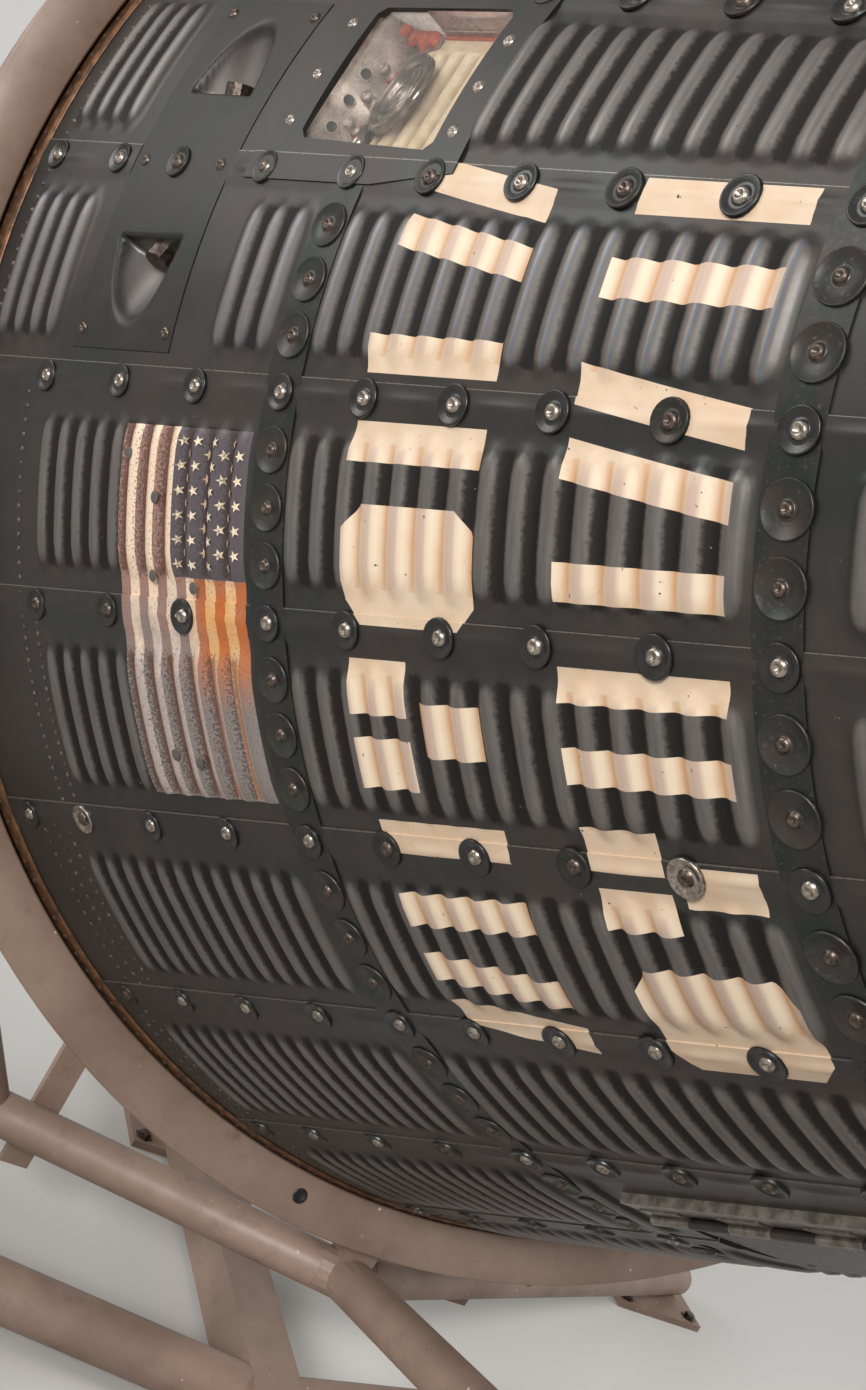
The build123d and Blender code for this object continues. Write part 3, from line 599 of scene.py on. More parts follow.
def cradle_enamel():
    """Dusty pink-beige enamel on steel, brushed thin, with grime and small pale chips."""
    material, t = start("beige_cradle_enamel")
    place = add(t, "TexCoord", output="Object")
    dust = add(t, "TexNoise", {"Vector": place, "Scale": 5.0, "Detail": 7.0, "Roughness": 0.66})
    paint = coated(t, "9a8273", "80695b", dust, 0.36, 0.66)
    grime_and_groove_shade = add(t, "TexNoise", {"Vector": place, "Scale": 26.0, "Detail": 6.0, "Roughness": 0.7})
    dirty = coated(t, paint, "5f4d43", grime_and_groove_shade, 0.55, 0.8, 0.0, 0.55)
    spots = add(t, "TexNoise", {"Vector": place, "Scale": 60.0, "Detail": 5.0, "Roughness": 0.6})
    return finished(material, t, {
        "Base Color": coated(t, dirty, "cfc2b6", spots, 0.70, 0.715),
        "Roughness": add(t, "MapRange", (dust, 0.3, 0.7, 0.42, 0.60)),
        "Normal": add(t, "Bump", {"Height": spots, "Strength": 0.2, "Distance": 0.0006}),
    })


def clear_sheet(name, tint):
    """Clear sheet with a slight tint and a film of dust that dulls it in places."""
    material, t = start(name)
    place = add(t, "TexCoord", output="Object")
    film = add(t, "TexNoise", {"Vector": place, "Scale": 30.0, "Detail": 3.0})
    return finished(material, t, {
        "Base Color": tint,
        "Roughness": add(t, "MapRange", (film, 0.5, 0.9, 0.02, 0.08)),
        "IOR": 1.47,
        "Transmission Weight": 1.0,
    })


ALLOY = oxidised_alloy()
CREAM = marking_enamel()
# The fourth colour of each enamel is the painted shade of its grooves
FLAG_RED = weathered_enamel("weathered_red_enamel", "9c7668", "857a75", "5a2f1c", "c4640c")
FLAG_WHITE = weathered_enamel("weathered_white_enamel", "ecd2b8", "b5a69f", "a8714a", "e0a45c")
FLAG_BLUE = weathered_enamel("weathered_blue_enamel", "564d52", "564d52", "2a120b")
STAR = weathered_enamel("star_enamel", "ecd8bc", "ecd8bc", "c9a680")
SKIN_MATERIALS = [ALLOY, CREAM, FLAG_RED, FLAG_WHITE, FLAG_BLUE]
PAINT = {"cream": 1, "red": 2, "white": 3, "blue": 4}

# Washers of rolled steel, oxidised or japanned: dark and half matt, with dust rubbed on their rims
DISC_METAL = speckled("oxidised_washer_steel", "2e3431", "3c332f", 0.03, 0.40, 0.6, dust=0.35)
DULL_WASHER = speckled("olive_washer_steel", "2a2d29", "3a3430", 0.02, 0.38, 0.7, dust=0.4)
BLACK_WASHER = speckled("black_japanned_washer", "0a0a0a", "151312", 0.01, 0.30)

# Turned steel screws: small bright points where bare, brown ones where oxidised
BOLT = speckled("bare_steel_screw", "a89d92", "6d635a", 0.004, 0.28, 1.0)
DARK_BOLT = speckled("oxidised_screw", "6a5d55", "3b322d", 0.004, 0.32, 0.9)
RIVET = speckled("oxidised_rivet", "6b645d", "35312e", 0.01, 0.4, 0.7)

# Small repairs, edge strip and gap on the skin: flat grey paint, browned bronze, dark brown painted shade in
# the gap
SPOT_GREY = speckled("grey_repair_spot", "5d5753", "4a4441", 0.004, 0.5)
BRONZE = speckled("bronze_edge_strip", "7a5436", "3d2a1e", 0.012, 0.45, 0.6, dust=0.3)
GAP_SHADE = speckled("painted_gap_shade", "2c1f18", "4a3020", 0.008, 0.75)

# Sheet metal off the ridges: green-black hoops, a satin nose, primer inside, a duller hinge
HOOP = speckled("green_black_hoop_steel", "242a27", "35312d", 0.03, 0.40, 0.65, dust=0.3)
PLATE = smooth_shingle()
NOSE_METAL = speckled("oxidised_nose_shingle", "2c3130", "413b37", 0.05, 0.46, 0.62, dust=0.4)
INNER_METAL = speckled("zinc_primed_titanium", "6d6f5e", "55574a", 0.05, 0.5, 0.3)
HINGE = speckled("dull_hinge_steel", "8b847b", "5c554e", 0.012, 0.36, 0.75, dust=0.3)

# In the port: machined and polished metal that glints, cream liner, red sealant, slack clear film
ALUMINIUM = speckled("machined_aluminium", "cdc1ba", "978c86", 0.014, 0.30, 0.5, 0.0010, dust=0.2)
POLISHED = speckled("polished_valve_steel", "a8a09a", "6a635e", 0.016, 0.17, 0.95, 0.00002)
CREAM_LINER = ribbed_enamel()
SEALANT = speckled("orange_red_sealant", "c8583a", "a0412a", 0.006, 0.6)
PINK_FILM = speckled("pinkish_plastic_film", "cdb1a9", "a28a83", 0.02, 0.25)
CLEAR_PLASTIC = clear_sheet("clear_acrylic", "f8f4ee")

# Shield, window, cabin and cradle: char that swallows light, clear glass, plain plastics, enamel, rubber
CHARRED = speckled("charred_glass_resin", "3d2f24", "1d1814", 0.05, 0.8, 0.0, 0.004, dust=0.25)
WINDOW_GLASS = clear_sheet("window_glass", "e4efec")
# Matt black for the periscope tube, and painted shade inside bolt holes
BLACK_TUBE_AND_HOLE_SHADE = speckled("matt_black_tube_and_hole_shade", "0d0d0e", "181818", 0.01, 0.6)
COUCH = speckled("moulded_couch_plastic", "4c524c", "3c413c", 0.04, 0.6)
INSTRUMENT = speckled("crackle_instrument_enamel", "33383a", "2a2e30", 0.004, 0.55)
FIBREGLASS = speckled("tan_glass_fibre_band", "8c7a5f", "6d5d48", 0.02, 0.55)
ENAMEL = cradle_enamel()
RUBBER = speckled("black_saddle_rubber", "161616", "232221", 0.02, 0.75)


# Shingles

def plain(s, z):
    """A place with no ridge on it."""
    return 0.0, 0.0, 0.0, 0.0


def panel(row, n, z0, z1):
    """One corrugated panel with its holes cut and its paint laid on."""
    bm = sheet(ACROSS, z0, z1, n)
    for hole in HOLES:
        bmesh.ops.delete(bm, geom=cut_along(bm, hole), context="FACES")
    if n < 5:
        for corners in mark_outlines():
            for face in cut_along(bm, corners):
                face.material_index = PAINT["cream"]
        for corners, paint in flag_outlines():
            for face in cut_along(bm, corners):
                face.material_index = PAINT[paint]
    skirt(bm, SKIN_T)
    unroll_map(bm)
    zones = OTHER_RIDGES.get((row, n), RIDGES[row])
    bend(bm, lambda s, z: skin_form(n, s, z, zones, True))
    return bm


for row, (z0, z1) in ROWS.items():
    panels = [panel(row, n, z0, z1) for n in range(-1, SEAMS - 1)]
    node = f"shingles_{row}"
    finish_piece(f"corrugated_{node}", joined(panels), SKIN_MATERIALS, [node])


def hatch_panel(n):
    """A hatch panel: the ridges of two rows, a plain edge, and the wall's thickness behind it."""
    bm = sheet(HATCH_ACROSS, HATCH[0][1] + 0.0008, HATCH[2][1] - 0.0008, n)
    for v in bm.verts:
        v.co.x = min(max(v.co.x, HATCH[0][0] + 0.004), HATCH[1][0] - 0.004)
    skirt(bm, HATCH_T)
    unroll_map(bm)
    zones = [(0.4494, 1), (0.5846, 13)]

    def form(s, z):
        wave, flank, groove = ridge(n, s, z, zones)
        return wave * RIDGE_H, wave, flank, groove
    bend(bm, form)
    return bm


hatch = joined([hatch_panel(n) for n in HATCH_SEAMS])
finish_piece("corrugated_side_hatch", hatch, SKIN_MATERIALS, ["side_hatch"])


def flat_sheet(s0, s1, z0, z1, lift, columns, rows):
    """A plain sheet in seams and metres."""
    bm = bmesh.new()
    bmesh.ops.create_grid(bm, x_segments=columns, y_segments=rows, size=0.5)
    for v in bm.verts:
        v.co = (s0 + (v.co.x + 0.5) * (s1 - s0), z0 + (v.co.y + 0.5) * (z1 - z0), lift)
    return bm


def skin_plate(shape, holes, lift, depth, step=0.05, rows=4, place=on_cone):
    """A smooth plate on the skin, cut to an outline, with holes through it."""
    xs, ys = [c[0] for c in shape], [c[1] for c in shape]
    columns = max(2, round((max(xs) - min(xs)) / step))
    bm = flat_sheet(min(xs), max(xs), min(ys), max(ys), lift, columns, rows)
    if len(shape) != 4 or shape[0][0] != shape[3][0]:
        kept = set(cut_along(bm, shape))
        bmesh.ops.delete(bm, geom=[f for f in bm.faces if f not in kept], context="FACES")
    for hole in holes:
        bmesh.ops.delete(bm, geom=cut_along(bm, hole), context="FACES")
    skirt(bm, depth)
    unroll_map(bm)
    bend(bm, plain, place)
    return bm


for name, (z0, z1, spacing) in zip(("aft", "forward"), BANDS.values()):
    strips = [
        skin_plate(box_outline(n - 0.02, n + 0.975, z0, z1), HOLES, 0.0016, 0.003)
        for n in range(-1, SEAMS - 1)
    ]
    finish_piece(f"hoop_strip_{name}", joined(strips), [HOOP])


def stars():
    """Small five-pointed stars in staggered columns on the canton."""
    whole = []
    columns, rows = 8, 6
    for i in range(columns):
        for j in range(rows if i % 2 == 0 else rows - 1):
            s = FLAG_S[0] + (j + (1.05 if i % 2 else 0.55)) / (rows + 0.1) * (CANTON_S - FLAG_S[0])
            z = CANTON_Z + (i + 0.6) / (columns + 0.2) * (FLAG_Z[1] - CANTON_Z)
            star = bmesh.new()
            bmesh.ops.create_circle(star, cap_ends=True, segments=10, radius=0.0054)
            bmesh.ops.poke(star, faces=star.faces)
            for k, v in enumerate(star.verts):
                if k % 2:
                    v.co *= 0.4
            for v in star.verts:
                v.co = (s + v.co.x / (cone_r(z) * SEAM), z + v.co.y, 0.0011)
            unroll_map(star)
            bend(star, lambda s, z: skin_form(1, s, z, RIDGES["aft"], True))
            whole.append(star)
    return joined(whole)


finish_piece("canton_stars", stars(), [STAR])


# Fasteners: each is a profile spun about Z; the faces near its middle are the screw's

def fastener(profile, steps, head_r=0.0):
    bm = lathe(profile, steps)
    for face in bm.faces:
        face.material_index = int(face.calc_center_median().to_2d().length < head_r)
    return bm


def with_recess(bm, reach, width, depth, high):
    """A cross-shaped recess in a screw's head, pressed down from the middle of its top."""
    for v in bm.verts:
        x, y = abs(v.co.x), abs(v.co.y)
        if max(x, y) < reach and min(x, y) < width and v.co.z > high:
            v.co.z -= depth
    return bm


DISC = fastener(tenths(
    (0, 12), (14, 12), (24, 36), (44, 34), (56, 12), (60, 4), (88, 4), (100, 11), (186, 7), (194, 17),
    (202, 17), (206, 0),
), 24, 0.0058)
CUP = fastener(tenths(
    (0, 14), (18, 14), (30, 42), (54, 40), (68, 14), (74, 4), (110, 14), (150, 30), (160, 31), (165, 20),
    (166, 0),
), 22, 0.0070)
SCREW = with_recess(fastener(tenths(
    (0, 26), (16, 26), (30, 24), (42, 21), (58, 12), (64, 0),
), 16), 0.0035, 0.0008, 0.0016, 0.0018)
DOME = fastener(tenths((0, 16), (18, 12), (30, 0)), 8)
SPOT = fastener(tenths((0, 4), (52, 4), (60, 0)), 12)


def clear_of_holes(s, z, room):
    """Whether a place on the skin, counted round either way, is clear of every opening."""
    return all(outside(hole, s + turn, z) > room for hole in HOLES for turn in (-SEAMS, 0, SEAMS))


def on_skin(places, lift, turn=True, room=0.012):
    return [
        seat(s, z, lift, random.uniform(0, 6.28) if turn else 0.0)
        for s, z in places if clear_of_holes(s, z, room)
    ]


discs, cups = [], {"black": [], "dull": [], "bright": []}
for middle, (z0, z1, spacing) in BANDS.items():
    for k in range(round(SEAMS / spacing)):
        s = k * spacing - 1
        (cups["black"] if abs(s - round(s)) < 0.01 else discs).append((s, middle))
for s in range(-1, SEAMS - 1):
    for z in SEAM_FASTENERS:
        kind = random.choices(("black", "dull", "bright"), (0.36, 0.58, 0.06))[0]
        if (s, z) in BLACK_ONES:
            kind = "black"
        cups[kind].append((s, z + random.uniform(-0.004, 0.004)))
finish_piece("band_washers", scatter(DISC, on_skin(discs, 0.0020)), [DISC_METAL, DARK_BOLT])
for kind, washer in (("black", BLACK_WASHER), ("dull", DULL_WASHER), ("bright", BOLT)):
    finish_piece(f"seam_washers_{kind}", scatter(CUP, on_skin(cups[kind], 0.0012)),
                 [washer, BOLT if kind == "black" else DARK_BOLT])

rivets = []
for n in range(-1, SEAMS - 1):
    lines = {1: (0.125,), 2: (0.125, 0.150), 3: (0.066, 0.090, 0.115)}.get(n, (0.045, 0.070, 0.100))
    if n in (4, 5, 6):
        lines = (0.035, 0.055)
    if n in (-1, 0, 11, 12):
        lines = (0.034,)
    for i, line in enumerate(lines):
        count = 20 if n == 2 else 16
        rivets += [(n + (k + 0.25 + 0.5 * (i % 2)) / count, line) for k in range(count)]
finish_piece("skin_rivets", scatter(DOME, on_skin(rivets, 0.0002, False)), [RIVET])
spots = [(1.31, 0.320), (1.49, 0.365), (1.83, 0.364), (1.87, 0.424), (2.63, 0.362), (2.66, 0.397)]
finish_piece("flag_repair_spots", scatter(SPOT, on_skin(spots, 0.0066)), [SPOT_GREY])


# Port: a plate round it, screws, and the tray with its liner, bracket and round valve

PORT_MID = (-0.5, 0.5135)
PORT_FLOOR = -0.038
PORT_LIFTS = (0.0379, 0.0078, -0.0232)
LINER_PITCH = 0.0205
plate = [(-0.97, 0.392), (-0.90, 0.376), (0.055, 0.374), (0.055, 0.548), (-0.02, 0.640), (-0.97, 0.640)]
finish_piece("port_plate", skin_plate(plate, [PORT], 0.0030, 0.003, 0.04, 10), [ALLOY])
places = [
    (-0.75, 0.402), (-0.47, 0.402), (-0.23, 0.402), (0.0, 0.400),
    (-0.70, 0.617), (-0.45, 0.617), (-0.22, 0.617),
]
finish_piece("port_screws", scatter(SCREW, on_skin(places, 0.0028, room=0.005)), [BOLT])


def port_at(x=0.0, y=0.0, z=0.0, turn=Matrix()):
    """A place in the port, from its middle on the skin: round, to the nose, and out."""
    return seat(*PORT_MID) @ Matrix.Translation((x, y, z)) @ turn


def slab(low, high, bevel=0.0):
    """A box between two corners with its edges rounded."""
    bm = bmesh.new()
    bmesh.ops.create_cube(bm, size=1.0)
    for v in bm.verts:
        v.co = [a + (c + 0.5) * (b - a) for a, b, c in zip(low, high, v.co)]
    if bevel:
        bmesh.ops.bevel(
            bm, geom=bm.edges[:], offset=bevel, segments=2, profile=0.5, affect="EDGES", material=-1
        )
    return bm


def port_walls():
    """Four walls and a floor, open at the skin."""
    bm = slab((-0.0728, -0.0932, -0.066), (0.0728, 0.0932, -0.0022))
    top = [f for f in bm.faces if f.normal.z > 0.9]
    bmesh.ops.delete(bm, geom=top, context="FACES")
    bmesh.ops.solidify(bm, geom=bm.faces[:], thickness=-0.0015)
    return bm


def liner():
    """Corrugated liner over the nose part of the port's floor."""
    bm = bmesh.new()
    bmesh.ops.create_grid(bm, x_segments=40, y_segments=96, size=0.5)
    groove = bm.verts.layers.float.new("groove")
    for v in bm.verts:
        x, y = v.co.x * 0.145, 0.0306 + v.co.y * 0.123
        wave = 0.5 + 0.5 * math.cos(2 * math.pi * (y + 0.015) / LINER_PITCH)
        here = smooth((x + 0.060) / 0.014)
        v[groove] = (1 - wave) * here
        v.co = (x, y, PORT_FLOOR + 0.0100 * math.sqrt(wave) * here)
    return bm


def channel():
    """Bright bracket along the port's other side: a slanting flange and a flat foot."""
    bm = bmesh.new()
    profile = [
        (-0.0927, -0.0042), (-0.0915, -0.0060), (-0.0710, PORT_FLOOR + 0.0015), (-0.0690, PORT_FLOOR),
        (-0.0340, PORT_FLOOR), (-0.0325, PORT_FLOOR + 0.001), (-0.0320, PORT_FLOOR + 0.004),
    ]
    verts = [bm.verts.new((-0.0722, y, z)) for y, z in profile]
    edges = [bm.edges.new(pair) for pair in zip(verts, verts[1:])]
    grown = bmesh.ops.extrude_edge_only(bm, edges=edges)["geom"]
    bmesh.ops.translate(bm, verts=verts_of(grown), vec=(0.1444, 0, 0))
    bmesh.ops.recalc_face_normals(bm, faces=bm.faces)
    if sum(f.normal.z for f in bm.faces) < 0:
        bmesh.ops.reverse_faces(bm, faces=bm.faces)
    bmesh.ops.solidify(bm, geom=bm.faces[:], thickness=0.0016)
    return bm


def in_port(bm, *place):
    """A part moved to its place in the port."""
    bm.transform(port_at(*place))
    return bm


finish_piece("port_tray_walls", in_port(port_walls()), [ALUMINIUM], ["port_tray"])
finish_piece("port_liner", in_port(liner()), [CREAM_LINER])
clip = slab((0.0062, -0.0640, PORT_FLOOR), (0.0190, -0.0520, PORT_FLOOR + 0.007), 0.001)
bracket = in_port(joined([channel(), clip]))
finish_piece("port_channel", bracket, [ALUMINIUM], ["port_bracket"])
lean = Matrix.Rotation(math.radians(-56), 4, "X")
# Each hole in the bracket: a rim round a dark disc, painted shade for the hole
rim_with_hole_shade = fastener(tenths((0, 3), (48, 3), (52, 9), (64, 9), (68, 0)), 20, 0.0050)
holes = [port_at(x, -0.0812, -0.0188, lean) for x in (0.0475, 0.0178, -0.0117)]
finish_piece("port_bracket_holes", scatter(rim_with_hole_shade, holes), [ALUMINIUM, BLACK_TUBE_AND_HOLE_SHADE])
posts = [port_at(x, -0.0690, PORT_FLOOR) for x in PORT_LIFTS]
post = lathe(tenths(
    (0, 150), (16, 150), (20, 168), (50, 164), (56, 140), (56, 118), (40, 108), (40, 60), (60, 60),
    (60, 0),
), 14)
finish_piece("port_posts", scatter(post, posts), [ALUMINIUM])
collar = lathe(tenths((0, 50), (48, 48), (66, 30), (74, 0)), 14)
dabs = [port_at(x, -0.0690, PORT_FLOOR + 0.001) for x in PORT_LIFTS]
for x, y, z, size in (
    (-0.0690, -0.080, -0.028, 1.1), (-0.0660, -0.070, -0.035, 1.2), (-0.0690, -0.060, -0.038, 1.3),
    (-0.0620, -0.055, -0.038, 1.0), (-0.0690, -0.046, -0.038, 1.3), (-0.0640, -0.038, -0.038, 0.9),
    (0.0650, -0.060, -0.038, 1.2), (0.0660, -0.048, -0.038, 1.3), (0.0580, -0.038, -0.038, 1.1),
    (0.0490, -0.036, -0.038, 1.0),
):
    dabs.append(port_at(x, y, z, Matrix.Scale(size, 4)))
line = slab((-0.0727, -0.0300, PORT_FLOOR - 0.001), (-0.0680, 0.0922, PORT_FLOOR + 0.0024), 0.001)
sealant = joined([scatter(collar, dabs), in_port(line)])
finish_piece("port_sealant", sealant, [SEALANT])
film = slab((-0.0727, -0.0300, PORT_FLOOR), (-0.0716, 0.0922, -0.0040))
fold = slab((-0.0716, -0.0300, PORT_FLOOR + 0.008), (-0.0704, 0.0922, PORT_FLOOR + 0.0095), 0.0005)
finish_piece("port_film", in_port(joined([film, fold])), [PINK_FILM])
disc = lathe(tenths(
    (0, 70), (70, 70), (80, 40), (230, 40), (240, 66), (290, 66), (300, 46), (345, 46), (352, 80),
    (408, 80), (418, 70), (418, 46), (408, 40), (408, 30), (418, 24), (418, 0), (406, -10), (0, -10),
), 56)
nut = lathe(tenths((0, 200), (60, 200), (74, 188), (74, 40), (60, 20), (60, -60), (0, -60)), 24)
valve = joined([
    in_port(disc, 0.0057, -0.0174, -0.0252, Matrix.Rotation(math.radians(17.5), 4, "X")),
    in_port(nut, 0.0440, -0.0425, -0.0290, Matrix.Rotation(math.radians(90), 4, "Y")),
])
finish_piece("port_valve_disc", valve, [POLISHED], ["port_valve"])


# Roll thrusters

def hollow_depth(seam, s, z):
    """Depth of the two slanting hollows at a place on the thruster's plate, with rounded edges."""
    lean, r, deep, back = math.radians(24), 0.052, 0.036, 0.040
    high = r * math.cos(lean) - deep
    way = 1 if s > seam else -1
    x = abs(s - seam - way * 0.5) * (1 if abs(s - seam) > 0.5 else -1) * cone_r(z) * SEAM + back
    y = z - sum(SCOOP_Z) / 2
    if abs(y) >= r:
        return 0.0
    bowl = math.sqrt(r * r - y * y) / math.cos(lean) - high - x * math.tan(lean)
    wall = x / math.tan(lean) - high
    least = min(bowl, wall)
    return least * smooth(least / 0.009) if least > 0 else 0.0


def scoop_plate(seam):
    """A smooth thick shingle with its two hollows pressed in."""
    z0, z1 = SCOOP_Z
    half = SCOOP_HALF - 0.002
    bm = flat_sheet(seam - half, seam + half, z0 + 0.0004, z1 - 0.0004, 0.0008, 150, 64)
    skirt(bm, 0.02)
    unroll_map(bm)

    def form(s, z):
        depth = hollow_depth(seam, s, z)
        # The depth also goes to the paint, for the painted highlight in the hollows
        return -depth, depth / 0.03, 0.0, 0.0
    bend(bm, form)
    return bm


for name, seam in zip(("right", "left"), THRUSTER_SEAMS):
    node = f"roll_scoop_{name}"
    finish_piece(f"thruster_plate_{name}", scoop_plate(seam), [PLATE], [node])
places = [(seam + side, z) for seam in THRUSTER_SEAMS for side in (-0.78, 0.78) for z in (0.200, 0.336)]
places += [(seam, z) for seam in THRUSTER_SEAMS for z in (0.205, 0.330)]
places = [seat(s, z, 0.0010, s * 3) for s, z in places]
finish_piece("thruster_screws", scatter(SCREW, places), [DARK_BOLT])
middles = [seat(seam, 0.262, 0.0008, 0.4) for seam in THRUSTER_SEAMS]
finish_piece("thruster_washers", scatter(CUP, middles), [DULL_WASHER, DARK_BOLT])

# Window: a raised frame with screws round the flat pane
window_hole = outline(WINDOW_SEAM, 0.6905, 1.0595, 0.1398, 0.0962)
frame_ring = skin_plate(WINDOW_FRAME, [window_hole], 0.0070, 0.030, 0.05, 24)
finish_piece("window_frame_ring", frame_ring, [HINGE], ["window_frame"])
places = []
for k in range(9):
    f = (k + 0.5) / 9
    z = 0.676 + f * (1.074 - 0.676)
    half = 0.158 + f * (0.109 - 0.158)
    places += [(WINDOW_SEAM + side * math.atan2(half, cone_r(z)) / SEAM, z) for side in (-1, 1)]
for z, half in ((0.676, 0.140), (1.074, 0.090)):
    places += [(WINDOW_SEAM + (k - 2) / 2 * math.atan2(half, cone_r(z)) / SEAM, z) for k in range(5)]
places = [seat(s, z, 0.0070, z * 40) for s, z in places]
finish_piece("window_screws", scatter(SCREW, places), [BOLT])

# Hatch: screws all round it
places = [(11.06 + k * (2.88 / 26), z) for k in range(27) for z in (0.3830, 1.0085)]
places += [(s, 0.3830 + (k + 1) * (0.6255 / 20)) for k in range(19) for s in (11.055, 13.945)]
places = [seat(s, z, 0.0004, z * 50) for s, z in places]
finish_piece("hatch_screws", scatter(SCREW, places), [DARK_BOLT])


# Periscope door: a bright strip beside the hinge's knuckles, and screws on it and on the door

def beside_hinge(metres, z):
    """Place a distance before the hinge line, in seams."""
    return HINGE_SEAM - metres / (cone_r(z) * SEAM)


corners = (0.038, 0.603), (0.008, 0.603), (0.008, 0.951), (0.038, 0.951)
strip = [(beside_hinge(across, z), z) for across, z in corners]
finish_piece("periscope_hinge_plate", skin_plate(strip, [], 0.0014, 0.004, 0.02, 12), [HINGE])
lines = [0.62 + k * 0.0388 for k in range(9)]
places = [seat(beside_hinge(0.024, z), z, 0.0014, k) for k, z in enumerate(lines)]
finish_piece("periscope_hinge_screws", scatter(SCREW, places), [DARK_BOLT])
places = [seat(s, z, 0.0002, z * 30) for s in (5.66, 6.40) for z in (0.63, 0.71, 0.79, 0.87, 0.93)]
finish_piece("periscope_door_screws", scatter(SCREW, places), [DARK_BOLT], body="door_body")


# Nose: the round recovery section with its flat shingles, and the antenna housing

NECK_R, NECK_Z = 0.406, (1.4663, 2.0836)
NECK_SEAMS = range(-1, SEAMS - 1, 2)
HOUSING_R, HOUSING_Z = (0.372, 0.262), (2.0839, 2.6436)


def on_neck(s, z, out=0.0):
    a = s * SEAM - math.pi / 2
    return Vector(((NECK_R + out) * math.cos(a), (NECK_R + out) * math.sin(a), z))


def neck_seat(s, z, out=0.0):
    lying = Matrix.Rotation(math.pi / 2, 4, "Y") @ Matrix.Rotation(math.pi / 2, 4, "Z")
    return Matrix.Translation(on_neck(s, z, out)) @ Matrix.Rotation(s * SEAM - math.pi / 2, 4, "Z") @ lying


def neck_hole(s, z, r):
    """A round hole in seams and metres."""
    angles = [math.pi * (k + 0.5) / 8 for k in range(16)]
    return [(s + r * math.cos(a) / (NECK_R * SEAM), z + r * math.sin(a)) for a in angles]


THRUSTER_Z = 1.9736
THRUSTERS = [neck_hole(s, THRUSTER_Z, 0.0300) for s in QUARTER_SEAMS]
panels = [
    skin_plate(box_outline(s + 0.01, s + 1.99, *NECK_Z), THRUSTERS, -0.0006, 0.006, 0.1, 20, on_neck)
    for s in NECK_SEAMS
]
finish_piece("nose_shingles", joined(panels), [NOSE_METAL], ["recovery_section"])
strips = [
    skin_plate(box_outline(s - 0.09, s + 0.09, *NECK_Z), [], -0.0002, 0.001, 0.06, 4, on_neck)
    for s in NECK_SEAMS
]
finish_piece("nose_lap_strips", joined(strips), [HOOP])
lines = [1.485 + k * 0.0525 for k in range(12)]
places = [neck_seat(s + side, z, -0.0004) for s in NECK_SEAMS for z in lines for side in (-0.14, 0.14)]
finish_piece("nose_screws", scatter(SCREW, places), [DARK_BOLT])
cup = lathe(tenths((300, 0), (270, -10), (200, -120), (120, -200), (0, -200)), 24)
bmesh.ops.reverse_faces(cup, faces=[f for f in cup.faces if f.normal.z < 0])
places = [neck_seat(s, THRUSTER_Z, -0.0006) for s in QUARTER_SEAMS]
finish_piece("nose_thruster_cups", scatter(cup, places), [POLISHED])
(r0, r1), (z0, z1) = HOUSING_R, HOUSING_Z


def housing_r(z):
    return r0 + (r1 - r0) * (z - z0 - 0.024) / (z1 - z0 - 0.024)


housing = [
    (0, z0), (0.409, z0), (0.4115, z0 + 0.003), (0.4115, z0 + 0.021), (0.409, z0 + 0.0238),
    (r0 + 0.003, z0 + 0.0238), (r0 - 0.0008, z0 + 0.027),
]
for z in (z0 + 0.215, z0 + 0.255):
    r = housing_r(z)
    housing += [(r - 0.0008, z - 0.001), (r - 0.0035, z), (r - 0.0008, z + 0.001)]
housing += [(r1 - 0.0006, z1 - 0.006), (r1 - 0.006, z1 - 0.0004), (0, z1 - 0.0004)]
antenna = lathe(housing, 96)
for face in antenna.faces:
    z = face.calc_center_median().z
    if z0 + 0.2155 < z < z0 + 0.2545:
        face.material_index = 1
finish_piece("round_antenna_housing", antenna, [NOSE_METAL, FIBREGLASS],
             ["antenna_housing"])
places = []
for z in (z0 + 0.045, z0 + 0.195, z0 + 0.275, z1 - 0.025):
    for k in range(24):
        turn = Matrix.Rotation(2 * math.pi * (k + 0.5) / 24, 4, "Z")
        lean = Matrix.Rotation(math.pi / 2 - 0.2, 4, "Y")
        places.append(turn @ Matrix.Translation((housing_r(z) - 0.0006, 0, z)) @ lean)
finish_piece("antenna_screws", scatter(SCREW, places), [DARK_BOLT])


# Cradle: the ring with its bevels, bolt holes as dark discs of painted shade, the gap inside it painted dark
# as shade, and bronze lip

RING_SEAT, RING_IN, RING_OUT = 0.9463, 0.9553, 1.0200
RING_FACE, RING_BACK, BEVEL = -0.008, -0.098, 0.0025
LIP_RIVETS = 236
ring_profile = [
    (RING_SEAT, RING_BACK + BEVEL), (RING_SEAT, RING_FACE - 0.014), (RING_IN - 0.001, RING_FACE - 0.014),
    (RING_IN, RING_FACE - BEVEL), (RING_IN + BEVEL, RING_FACE), (RING_OUT - BEVEL, RING_FACE),
    (RING_OUT, RING_FACE - BEVEL), (RING_OUT, RING_BACK + BEVEL), (RING_OUT - BEVEL, RING_BACK),
    (RING_SEAT + BEVEL, RING_BACK), (RING_SEAT, RING_BACK + BEVEL),
]
ring = lathe(ring_profile, 240)
# The recessed gap inside the painted face is dark brown: painted shade
for face in ring.faces:
    at = face.calc_center_median()
    if at.to_2d().length < RING_IN and at.z > RING_FACE - 0.03:
        face.material_index = 1
finish_piece("cradle_ring", ring, [ENAMEL, GAP_SHADE], ["stand_ring"])
bolt_at = [math.radians(a) for a in (-127.5, -67.5, -7.7, 43.5, 106.5, 165.0)]
holes = [Matrix.Rotation(a, 4, "Z") @ Matrix.Translation((0.984, 0, RING_FACE + 0.0002)) for a in bolt_at]
